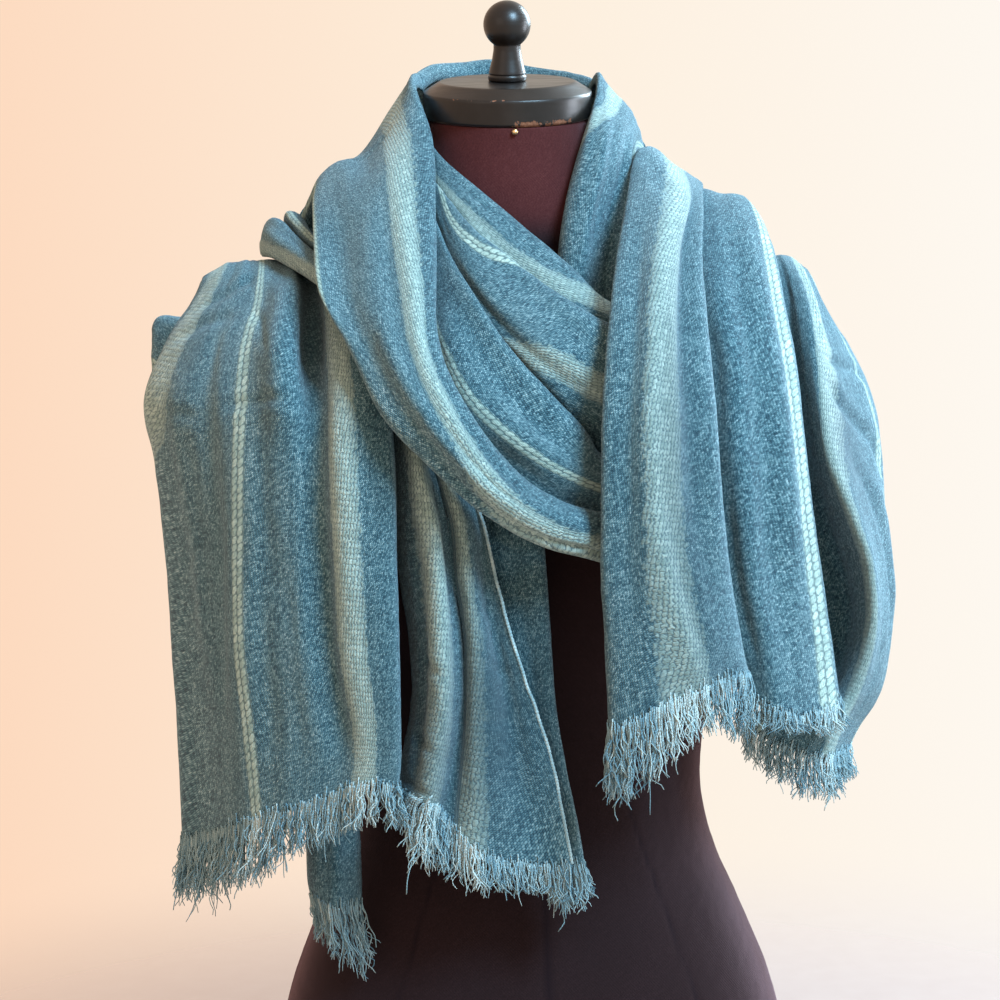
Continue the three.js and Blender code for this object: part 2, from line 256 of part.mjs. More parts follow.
      { mm: 280, at: [[168.1, -68, 428.5], [186.8, -38, 423.7], [207, -36, 421.2], [212.4, -74, 426.8], [216, -90, 429.4], [234, -54, 423.2], [253.6, -4, 414.9], [257.3, 42, 407.1], [242.9, 86, 400.3]] },
      { mm: 320, at: [[171.2, -64, 388.2], [190.8, -36, 382.8], [210.6, -36, 380.6], [215.6, -68, 386.8], [219.1, -82, 389.6], [235.4, -50, 383], [252.1, -8, 375.5], [254.1, 32, 367.6], [237.3, 72, 360.4]] },
      { mm: 362, at: [[175.1, -62, 349.1], [191.5, -42, 343.9], [200.5, -44, 343.2], [203.1, -68, 348.2], [209.1, -78, 351.2], [224.4, -54, 345.3], [241.3, -20, 336.7], [241.6, 14, 328.8], [226.2, 48, 321.7]] },
      { mm: 401, at: [[140.1, -92, 340.8], [160, -88, 335.1], [175.6, -86, 330.6], [185.9, -87, 329], [195.5, -83, 327], [208.1, -63, 322.3], [221.5, -36, 316.1], [221.3, -8, 309], [208.7, 20, 302.4]] },
      { mm: 419, at: [[130.9, -98, 334.6], [148.6, -94, 323.1], [165.1, -90, 314.2], [177.2, -89, 310.1], [187.2, -86, 308.9], [199.9, -68, 306.3], [211.6, -44, 304.6], [211.5, -18, 297.7], [200.8, 6, 291.7]] },
    ],
  },
  // a folded edge over the left shoulder
  left_shoulder_roll: {
    folds: ["turn_under", "low_edge", "stripe_low", "stripe_high", "dark", "crest", "back_turn"],
    rows: [
      { mm: 0, at: [[-151.1, 40, 643.7], [-157.1, 46, 643.9], [-160.3, 48, 648], [-159.4, 48, 653.4], [-156.5, 46, 658.7], [-152.4, 42, 662.5], [-149.2, 36, 659]] },
      { mm: 24, at: [[-157.3, 16, 644.4], [-163.3, 22, 643.2], [-164.4, 24, 647.9], [-163.5, 25, 653.9], [-161.2, 23, 661.1], [-156.4, 18, 666.1], [-152, 12, 662.6]] },
      { mm: 56, at: [[-151.5, -6, 645.3], [-157.6, -10, 641.6], [-158.8, -17, 644.8], [-158.6, -21, 651.2], [-156.9, -17, 658.9], [-152.7, -6, 664.9], [-147.6, 2, 661.6]] },
      { mm: 89, at: [[-141.3, -32, 635.9], [-146.6, -42, 634.8], [-147.2, -49, 638], [-146.4, -52, 644.9], [-145.4, -46, 649.9], [-143.8, -35, 654.5], [-140, -30, 651.9]] },
      { mm: 113, at: [[-132.5, -56, 628.7], [-137.7, -63, 628.9], [-138.3, -70, 632.7], [-137.5, -71, 639.5], [-136.7, -66, 642], [-135.1, -57, 645.8], [-131.9, -52, 643.2]] },
      { mm: 142, at: [[-123.5, -82, 621.7], [-128, -89, 621.3], [-127.5, -95, 624.4], [-126.7, -96, 630.5], [-125.8, -92, 633.6], [-124.2, -84, 636.6], [-121, -76, 633.4]] },
      { mm: 165, at: [[-115.2, -103, 614.3], [-119.2, -109, 612.7], [-118.6, -113, 615.8], [-117.8, -114, 620.6], [-117, -111, 623.6], [-115.4, -104, 626.5], [-112.8, -97, 623.4]] },
    ],
  },
  // a second folded edge above it
  left_shoulder_roll_upper: {
    folds: ["left_under", "left", "stripe_left", "stripe_right", "right", "right_edge", "right_under"],
    rows: [
      { mm: 0, at: [[-143.1, 42, 658.2], [-147, 44, 662.4], [-146.1, 44, 667.1], [-144.7, 42, 669.7], [-141.5, 40, 668.2], [-139.6, 38, 664.8], [-138.5, 34, 660.7]] },
      { mm: 21, at: [[-142.7, 23, 659.2], [-147.2, 24, 664], [-146.4, 20, 669.5], [-143.7, 16, 671], [-139.2, 16, 669.2], [-136, 16, 664.9], [-135.4, 20, 660.3]] },
      { mm: 44, at: [[-141.1, 7, 657], [-145.6, 4, 661.6], [-144.9, -5, 665.3], [-140.5, -11, 665.1], [-136, -9, 662.4], [-132.8, -5, 657.9], [-131.5, 1, 653.4]] },
      { mm: 66, at: [[-137.1, -12, 651.4], [-140.9, -16, 656], [-139, -25, 658.3], [-134.7, -30, 657.5], [-131.5, -30, 654.9], [-129.1, -26, 649.7], [-128.3, -18, 645.9]] },
      { mm: 93, at: [[-128.3, -38, 644.5], [-132.1, -41, 647.1], [-130.3, -48, 649.5], [-126.7, -53, 648.1], [-124.2, -53, 646.1], [-122.3, -50, 643], [-121.6, -45, 641.1]] },
      { mm: 105, at: [[-124.2, -50, 643.6], [-127.4, -53, 645.6], [-125.6, -60, 648], [-122.7, -64, 645.4], [-120.8, -64, 645.3], [-119.5, -61, 643.4], [-118.7, -56, 642.2]] },
    ],
  },
  // the collar behind the neck
  neck_collar_back: {
    folds: ["outer_turn", "outer_edge", "band_1", "band_2", "light_stripe", "band_3", "inner_edge", "inner_turn"],
    rows: [
      { mm: 0, at: [[-131, 58, 651], [-138, 53, 663], [-114, 49, 692], [-92, 43, 712], [-74, 37, 738], [-62, 33, 754], [-56, 29, 760], [-53, 27, 749]] },
      { mm: 31, at: [[-115, 92, 648], [-122, 92, 658], [-99, 84, 690], [-80, 75, 716], [-63, 63, 744], [-52, 54, 761], [-46, 48, 767], [-43, 45, 756]] },
      { mm: 80, at: [[-62, 128, 645], [-63, 132, 656], [-52, 119, 688], [-42, 105, 717], [-33, 90, 746], [-26, 79, 764], [-22, 73, 771], [-20, 68, 760]] },
      { mm: 121, at: [[0, 139, 644], [0, 143, 655], [0, 130, 687], [0, 116, 717], [0, 101, 747], [0, 88, 766], [0, 81, 773], [0, 76, 762]] },
      { mm: 165, at: [[62, 128, 646], [64, 131, 657], [53, 119, 687], [44, 106, 714], [36, 92, 742], [30, 82, 759], [26, 76, 767], [24, 71, 756]] },
      { mm: 211, at: [[98, 96, 675], [102, 94, 685], [90, 82, 702], [78, 74, 720], [66, 64, 740], [58, 57, 753], [52, 51, 760], [49, 48, 750]] },
      { mm: 243, at: [[97, 56, 698], [100, 52, 706], [96, 48, 716], [88, 44, 727], [78, 39, 739], [69, 35, 748], [63, 32, 754], [59, 30, 744]] },
    ],
  },
  // the layer over the upper back, from shoulder to shoulder
  upper_back_drape: {
    folds: ["top", "yoke", "ridge", "upper", "middle", "lower_1", "lower_2", "edge", "edge_turn"],
    rows: [
      { mm: 0, at: [[-174, 32, 596], [-186, 32, 589], [-195, 32, 580], [-204, 33, 564], [-211, 34, 535], [-209, 34, 475], [-206, 33, 410], [-204, 31, 356], [-200, 33, 350]] },
      { mm: 39, at: [[-182, 50, 590], [-208, 57, 597], [-235, 65, 603], [-240, 66, 582], [-239, 66, 540], [-234, 64, 470], [-230, 62, 405], [-226, 60, 350], [-221, 60, 344]] },
      { mm: 83, at: [[-160, 62, 598], [-183, 82, 599], [-199, 94, 593], [-207, 101, 573], [-212, 105, 536], [-212, 107, 474], [-208, 104, 412], [-204, 100, 360], [-199, 96, 355]] },
      { mm: 145, at: [[-118, 70, 624], [-138, 99, 620], [-149, 115, 603], [-155, 125, 580], [-159, 133, 545], [-160, 139, 494], [-158, 140, 444], [-155, 138, 402], [-151, 132, 397]] },
      { mm: 220, at: [[-72, 84, 668], [-80, 113, 644], [-83, 130, 612], [-85, 141, 585], [-86, 149, 553], [-86, 155, 515], [-84, 157, 478], [-82, 155, 446], [-80, 148, 441]] },
      { mm: 304, at: [[0, 92, 676], [0, 120, 647], [0, 138, 612], [0, 149, 588], [0, 156, 560], [0, 162, 528], [0, 164, 496], [0, 161, 466], [0, 154, 461]] },
      { mm: 391, at: [[72, 80, 658], [82, 110, 632], [85, 131, 610], [88, 143, 584], [90, 151, 552], [91, 157, 512], [90, 159, 474], [88, 157, 441], [86, 150, 436]] },
      { mm: 470, at: [[127, 52, 640], [144, 90, 628], [155, 115, 611], [160, 127, 582], [164, 135, 544], [167, 140, 490], [166, 140, 436], [163, 137, 390], [159, 130, 385]] },
      { mm: 530, at: [[158, 46, 616], [182, 76, 609], [200, 94, 601], [210, 102, 575], [217, 106, 534], [219, 107, 470], [216, 104, 402], [211, 98, 345], [206, 92, 340]] },
      { mm: 562, at: [[168, 38, 610], [187, 54, 606], [201, 66, 598], [214, 71, 575], [226, 73, 535], [233, 73, 475], [233, 68, 410], [229, 60, 350], [224, 57, 344]] },
    ],
  },
};

// ---- fringes: for every column of a stretch's hem, the lowest place of its yarns ----
const FRINGES = {
  fringe_left_front: { hem_of: "left_front_end", reach: [[-226.7, 26, 213.2], [-236.1, -8, 221.2], [-222.4, -40, 226.1], [-205.1, -76, 239.9], [-186.1, -111, 253], [-158.3, -137, 275.6], [-135.1, -149, 286.1], [-117.7, -161, 296.3], [-94.4, -164, 297], [-101.5, -148, 291.5]] },
  fringe_left_tail: { hem_of: "left_rear_tail", reach: [[-143.8, -67, 201.3], [-134.9, -88, 199.2], [-125.9, -95, 190.4], [-118.4, -91, 182.1], [-108.1, -84, 193.1]] },
  fringe_left_inner: { hem_of: "left_inner_end", reach: [[-93.7, -132, 292.7], [-91.3, -143, 293.4], [-83.8, -164, 269.2], [-68.9, -150, 262.1], [-49.9, -160, 253.1], [-28.7, -155, 247.4], [-9.7, -150, 243.6], [8.9, -153, 233.2]] },
  fringe_left_inner_rear: { hem_of: "left_inner_rear", reach: [[-1.2, -131, 234.5], [3.4, -138, 231.7], [11.1, -146, 230.4], [22.9, -148, 242.3], [18.6, -134, 237.4]] },
  fringe_right_front: { hem_of: "right_front_end", reach: [[38, -180, 313.3], [28.2, -192, 314.2], [45.4, -201, 317.3], [77.8, -201, 348.7], [93.6, -192, 350.3], [112.1, -176, 346], [111.2, -157, 340.2]] },
  fringe_right_panel: { hem_of: "right_side_panel", reach: [[123.4, -136, 345.3], [129.8, -141, 342.8], [139.7, -147, 338.6], [157.2, -140, 336.2], [178.8, -125, 330.1], [191.6, -113, 332.1], [189.1, -95, 327.8]] },
  fringe_right_drape: { hem_of: "right_side_drape", reach: [[129.3, -98, 317.8], [148.2, -94, 298.9], [164.8, -90, 287.9], [176.8, -89, 281.7], [186.8, -86, 278.5], [199.6, -68, 284.9], [212.8, -44, 284.1], [212.6, -18, 276.8], [201.9, 6, 269]] },
};

// ---- curves through tables ------------------------------------------------------------
const add = (a, b) => a.map((v, i) => v + b[i]);
const sub = (a, b) => a.map((v, i) => v - b[i]);
const mul = (a, s) => a.map((v) => v * s);
const len = (a) => Math.hypot(...a);
const unit = (a) => mul(a, 1 / (len(a) || 1));
const cross = (a, b) => [a[1] * b[2] - a[2] * b[1], a[2] * b[0] - a[0] * b[2], a[0] * b[1] - a[1] * b[0]];

function tangents(p, t) {
  const n = p.length;
  const s = p.slice(1).map((q, i) => mul(sub(q, p[i]), 1 / (t[i + 1] - t[i])));
  if (n === 2) return [s[0], s[0]];
  const m = p.map((q, i) => {
    if (i === 0 || i === n - 1) return null;
    const a = t[i] - t[i - 1], b = t[i + 1] - t[i];
    return add(mul(s[i - 1], b / (a + b)), mul(s[i], a / (a + b)));
  });
  m[0] = sub(mul(s[0], 2), m[1]);
  m[n - 1] = sub(mul(s[n - 2], 2), m[n - 2]);
  return m;
}

function along(p, m, t, x) {
  let i = 0;
  while (i < t.length - 2 && x >= t[i + 1]) i++;
  const h = t[i + 1] - t[i], s = (x - t[i]) / h;
  const a = 2 * s ** 3 - 3 * s ** 2 + 1, b = (s ** 3 - 2 * s ** 2 + s) * h;
  const c = -2 * s ** 3 + 3 * s ** 2, d = (s ** 3 - s ** 2) * h;
  return p[i].map((v, k) => a * v + b * m[i][k] + c * p[i + 1][k] + d * m[i + 1][k]);
}

function knots(grid, down) {
  const n = down ? grid.length : grid[0].length;
  const t = [0];
  for (let i = 1; i < n; i++) {
    const d = down
      ? grid[i].map((q, j) => len(sub(q, grid[i - 1][j])))
      : grid.map((row) => len(sub(row[i], row[i - 1])));
    t.push(t[i - 1] + d.reduce((a, b) => a + b, 0) / d.length);
  }
  return t;
}

function samples(t, step, most) {
  const out = [];
  for (let i = 0; i < t.length - 1; i++) {
    const n = Math.min(most, Math.max(1, Math.ceil((t[i + 1] - t[i]) / step)));
    for (let k = 0; k < n; k++) out.push(t[i] + (t[i + 1] - t[i]) * k / n);
  }
  out.push(t[t.length - 1]);
  return out;
}

// points of a smooth sheet through a table
function sheet(grid, rowStep, foldStep, most = 3) {
  const tv = knots(grid, true), tu = knots(grid, false);
  const su = samples(tu, foldStep, most), sv = samples(tv, rowStep, most);
  const wide = grid.map((row) => {
    const m = tangents(row, tu);
    return su.map((x) => along(row, m, tu, x));
  });
  const columns = su.map((_, j) => {
    const c = wide.map((row) => row[j]);
    const m = tangents(c, tv);
    return sv.map((x) => along(c, m, tv, x));
  });
  return sv.map((_, i) => columns.map((c) => c[i]));
}

// a closed wall on both sides of a sheet
function wall(points, thickness) {
  const nv = points.length, nu = points[0].length;
  const front = [], back = [];
  for (let i = 0; i < nv; i++) {
    for (let j = 0; j < nu; j++) {
      const u = sub(points[i][Math.min(j + 1, nu - 1)], points[i][Math.max(j - 1, 0)]);
      const v = sub(points[Math.min(i + 1, nv - 1)][j], points[Math.max(i - 1, 0)][j]);
      const n = mul(unit(cross(v, u)), thickness / 2);
      front.push(add(points[i][j], n));
      back.push(sub(points[i][j], n));
    }
  }
  const p = [...front, ...back], o = nv * nu, f = [];
  const at = (i, j) => i * nu + j;
  const quad = (a, b, c, d) => f.push(a, b, c, a, c, d);
  for (let i = 0; i < nv - 1; i++) {
    for (let j = 0; j < nu - 1; j++) {
      quad(at(i, j), at(i + 1, j), at(i + 1, j + 1), at(i, j + 1));
      quad(o + at(i, j), o + at(i, j + 1), o + at(i + 1, j + 1), o + at(i + 1, j));
    }
  }
  for (let i = 0; i < nv - 1; i++) {
    quad(at(i, 0), o + at(i, 0), o + at(i + 1, 0), at(i + 1, 0));
    quad(at(i, nu - 1), at(i + 1, nu - 1), o + at(i + 1, nu - 1), o + at(i, nu - 1));
  }
  for (let j = 0; j < nu - 1; j++) {
    quad(at(0, j), at(0, j + 1), o + at(0, j + 1), o + at(0, j));
    quad(at(nv - 1, j), o + at(nv - 1, j), o + at(nv - 1, j + 1), at(nv - 1, j + 1));
  }
  return faceted(p, f);
}

function faceted(p, f) {
  const g = new THREE.BufferGeometry();
  g.setAttribute("position", new THREE.Float32BufferAttribute(p.flat(), 3));
  g.setIndex(f);
  g.computeVertexNormals();
  return g;
}

// a wall from a stretch's hem down to the reach of its yarns
function fringeWall(stretch, reach) {
  const hem = stretch.rows[stretch.rows.length - 1].at;
  const top = hem.map((q, j) => add(q, mul(unit(sub(reach[j], q)), FRINGE_GAP)));
  return wall(sheet([top, reach], 60, FOLD_STEP, 2), CLOTH_THICKNESS);
}

// ---- hard pieces --------------------------------------------------------------------
function outline(count, halfWidth, front, back, centreY, squareness) {
  const pts = [];
  for (let k = 0; k < count; k++) {
    const a = 2 * Math.PI * k / count, c = Math.cos(a), s = Math.sin(a), e = 2 / squareness;
    pts.push([
      halfWidth * Math.sign(c) * Math.abs(c) ** e,
      centreY + (s < 0 ? front : back) * Math.sign(s) * Math.abs(s) ** e,
    ]);
  }
  return pts;
}

// a closed body through rings of equal count, from the bottom to the top
function rings(list) {
  const n = list[0].length, p = list.flat(), f = [];
  for (let i = 0; i < list.length - 1; i++) {
    for (let k = 0; k < n; k++) {
      const a = i * n + k, b = i * n + (k + 1) % n;
      f.push(a, b, b + n, a, b + n, a + n);
    }
  }
  const centre = (ring) => mul(ring.reduce(add, [0, 0, 0]), 1 / n);
  const low = p.push(centre(list[0])) - 1, high = p.push(centre(list[list.length - 1])) - 1;
  const last = (list.length - 1) * n;
  for (let k = 0; k < n; k++) {
    f.push(low, (k + 1) % n, k);
    f.push(high, last + k, last + (k + 1) % n);
  }
  return faceted(p, f);
}

function torso() {
  const t = FORM_SECTIONS.map((r) => r[0]);
  const rest = FORM_SECTIONS.map((r) => r.slice(1));
  const m = tangents(rest, t);
  const heights = samples(t, 30, 2);
  return rings(heights.map((z) => {
    const [halfWidth, front, back, centreY, squareness] = along(rest, m, t, z);
    const lean = Math.tan(CAP_TILT) * Math.min(1, Math.max(0, (z - TILT_START) / (NECK_TOP - TILT_START)));
    return outline(FORM_RING, halfWidth, front, back, centreY, squareness).map(([x, y]) => {
      const facing = Math.min(1, Math.max(0, (centreY - y) / front * 1.2));
      const fullness = BUST_OUT * facing
        * Math.exp(-(((Math.abs(x) - BUST_X) / BUST_SPREAD_X) ** 2) - ((z - BUST_Z) / BUST_SPREAD_Z) ** 2);
      return [x, y - fullness, z + lean * y];
    });
  }));
}

function basePlate() {
  const ring = (inset, z) => outline(FORM_RING, BASE_HALF_WIDTH - inset, BASE_FRONT - inset, BASE_BACK - inset, 0, BASE_SQUARENESS)
    .map(([x, y]) => [x, y, z]);
  return rings([ring(BASE_EDGE, 0), ring(0, BASE_EDGE), ring(0, BASE_THICKNESS - BASE_EDGE), ring(BASE_EDGE, BASE_THICKNESS)]);
}

function turned(profile, segments) {
  const g = new THREE.LatheGeometry(profile.map(([r, z]) => new THREE.Vector2(r, z)), segments);
  g.rotateX(Math.PI / 2);
  return g;
}

// pieces on the neck share its leaning axis, which starts at the neck's top
function onNeck(geometry, height) {
  geometry.translate(0, 0, height);
  geometry.rotateX(CAP_TILT);
  geometry.translate(0, NECK_TOP_Y, NECK_TOP + Math.tan(CAP_TILT) * NECK_TOP_Y);
  return geometry;
}

const capProfile = [
  [0, 0], [CAP_RADIUS - 2, 0], [CAP_RADIUS - 0.5, 1.5], [CAP_RADIUS, CAP_SIDE - 1.5], [CAP_RADIUS - 0.4, CAP_SIDE],
  [CAP_TOP_RADIUS, CAP_HEIGHT - 0.6], [CAP_TOP_RADIUS - 1.5, CAP_HEIGHT], [0, CAP_HEIGHT],
];

function finialProfile() {
  const start = Math.PI - Math.asin(STEM_NECK / BALL_RADIUS);
  const ball = [];
  for (let k = 0; k < 7; k++) {
    const a = start * (1 - k / 7);
    ball.push([BALL_RADIUS * Math.sin(a), BALL_CENTRE + BALL_RADIUS * Math.cos(a)]);
  }
  return [[0, 0], [STEM_BASE, 0], [STEM_BASE + 0.2, 3], [STEM_BASE - 0.6, 4], [STEM_BASE - 0.2, 5],
    [STEM_BASE - 1, 8], [STEM_NECK + 0.8, 15], ...ball, [0, BALL_CENTRE + BALL_RADIUS]];
}

function pin() {
  const g = turned([[0, 0], [PIN_RADIUS, 0], [PIN_RADIUS - 0.1, 0.9], [PIN_RADIUS * 0.6, 1.6], [0, 1.9]], 12);
  g.rotateX(Math.PI / 2);           // its axis now runs along -Y
  const t = FORM_SECTIONS.map((r) => r[0]), rest = FORM_SECTIONS.map((r) => r.slice(1));
  const [halfWidth, front, , centreY] = along(rest, tangents(rest, t), t, PIN_Z + 9);
  const turn = Math.asin(PIN_X / halfWidth);
  g.rotateZ(turn);
  g.translate(PIN_X, centreY - front * Math.cos(turn) - SEAM - 0.6, PIN_Z);
  return g;
}

// ---- assembly -----------------------------------------------------------------------
const material = (color, roughness, metalness = 0) => new THREE.MeshStandardMaterial({ color, roughness, metalness });
const jersey = material(0x3a2030, 0.92);
const lacquer = material(0x14110f, 0.3);
const brass = material(0xb08a4a, 0.35, 1);
const board = material(0x6b4a34, 0.7);
const cloth = material(0x3f6f84, 0.95);
const yarn = material(0x9fbcc0, 0.95);

const group = new THREE.Group();
group.name = "scarf_on_dress_form";
function put(name, geometry, mat) {
  const mesh = new THREE.Mesh(geometry, mat);
  mesh.name = name;
  group.add(mesh);
}

put("form_base_plate", basePlate(), board);
put("form_body", torso(), jersey);
put("neck_cap", onNeck(turned(capProfile, 36), SEAM), lacquer);
put("finial", onNeck(turned(finialProfile(), 20), SEAM + CAP_HEIGHT + SEAM), lacquer);
put("neck_pin", pin(), brass);
for (const [name, stretch] of Object.entries(STRETCHES)) {
  put(name, wall(sheet(stretch.rows.map((r) => r.at), ROW_STEP, FOLD_STEP, 2), CLOTH_THICKNESS), cloth);
}
for (const [name, fringe] of Object.entries(FRINGES)) {
  put(name, fringeWall(STRETCHES[fringe.hem_of], fringe.reach), yarn);
}

export default group;
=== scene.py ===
"""Looks for the striped woven scarf on its limbless dress form.

Sizes in the tables are millimetres in the part's frame; objects are made in metres.
"""
import math
import bpy
import numpy as np
from mathutils import Matrix, Vector


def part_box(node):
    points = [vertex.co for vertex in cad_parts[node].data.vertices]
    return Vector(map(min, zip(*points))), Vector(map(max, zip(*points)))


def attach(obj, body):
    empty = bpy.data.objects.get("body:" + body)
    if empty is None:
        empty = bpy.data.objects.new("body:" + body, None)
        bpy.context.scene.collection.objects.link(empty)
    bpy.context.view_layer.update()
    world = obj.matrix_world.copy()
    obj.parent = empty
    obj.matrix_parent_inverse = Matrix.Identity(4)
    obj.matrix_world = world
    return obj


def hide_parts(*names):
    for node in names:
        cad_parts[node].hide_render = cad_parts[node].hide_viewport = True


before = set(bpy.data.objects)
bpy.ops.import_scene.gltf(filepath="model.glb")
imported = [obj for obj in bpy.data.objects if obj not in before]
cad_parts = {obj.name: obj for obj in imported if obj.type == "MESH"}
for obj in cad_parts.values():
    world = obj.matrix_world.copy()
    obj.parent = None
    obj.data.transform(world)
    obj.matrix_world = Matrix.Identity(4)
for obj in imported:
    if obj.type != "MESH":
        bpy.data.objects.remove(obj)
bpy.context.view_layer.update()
MM = 0.001

# ---------------------------------------------------------------- camera
CAM_DISTANCE = 1500.0
CAM_PITCH = math.radians(6.0)
CAM_TURN = math.radians(-6.0)
CAM_ROLL = math.radians(1.6)
CAM_TARGET = np.array([-11.7, 0.0, 475.7])
CAM_LENS = 2239.0 / 1000.0 * 36.0


def make_camera():
    back = np.array([
        math.sin(CAM_TURN) * math.cos(CAM_PITCH),
        -math.cos(CAM_TURN) * math.cos(CAM_PITCH),
        math.sin(CAM_PITCH),
    ])
    right = np.cross(-back, [0, 0, 1.0])
    right /= np.linalg.norm(right)
    up = np.cross(right, -back)
    r = right * math.cos(CAM_ROLL) - up * math.sin(CAM_ROLL)
    u = np.cross(r, -back)
    place = (CAM_TARGET + CAM_DISTANCE * back) * MM
    cam = bpy.data.cameras.new("camera")
    cam.lens = CAM_LENS
    cam.sensor_width = 36.0
    cam.clip_start, cam.clip_end = 0.05, 60
    ob = bpy.data.objects.new("camera", cam)
    bpy.context.scene.collection.objects.link(ob)
    m = Matrix.Identity(4)
    for i in range(3):
        m[i][0], m[i][1], m[i][2], m[i][3] = r[i], u[i], back[i], place[i]
    ob.matrix_world = m
    bpy.context.scene.camera = ob


make_camera()

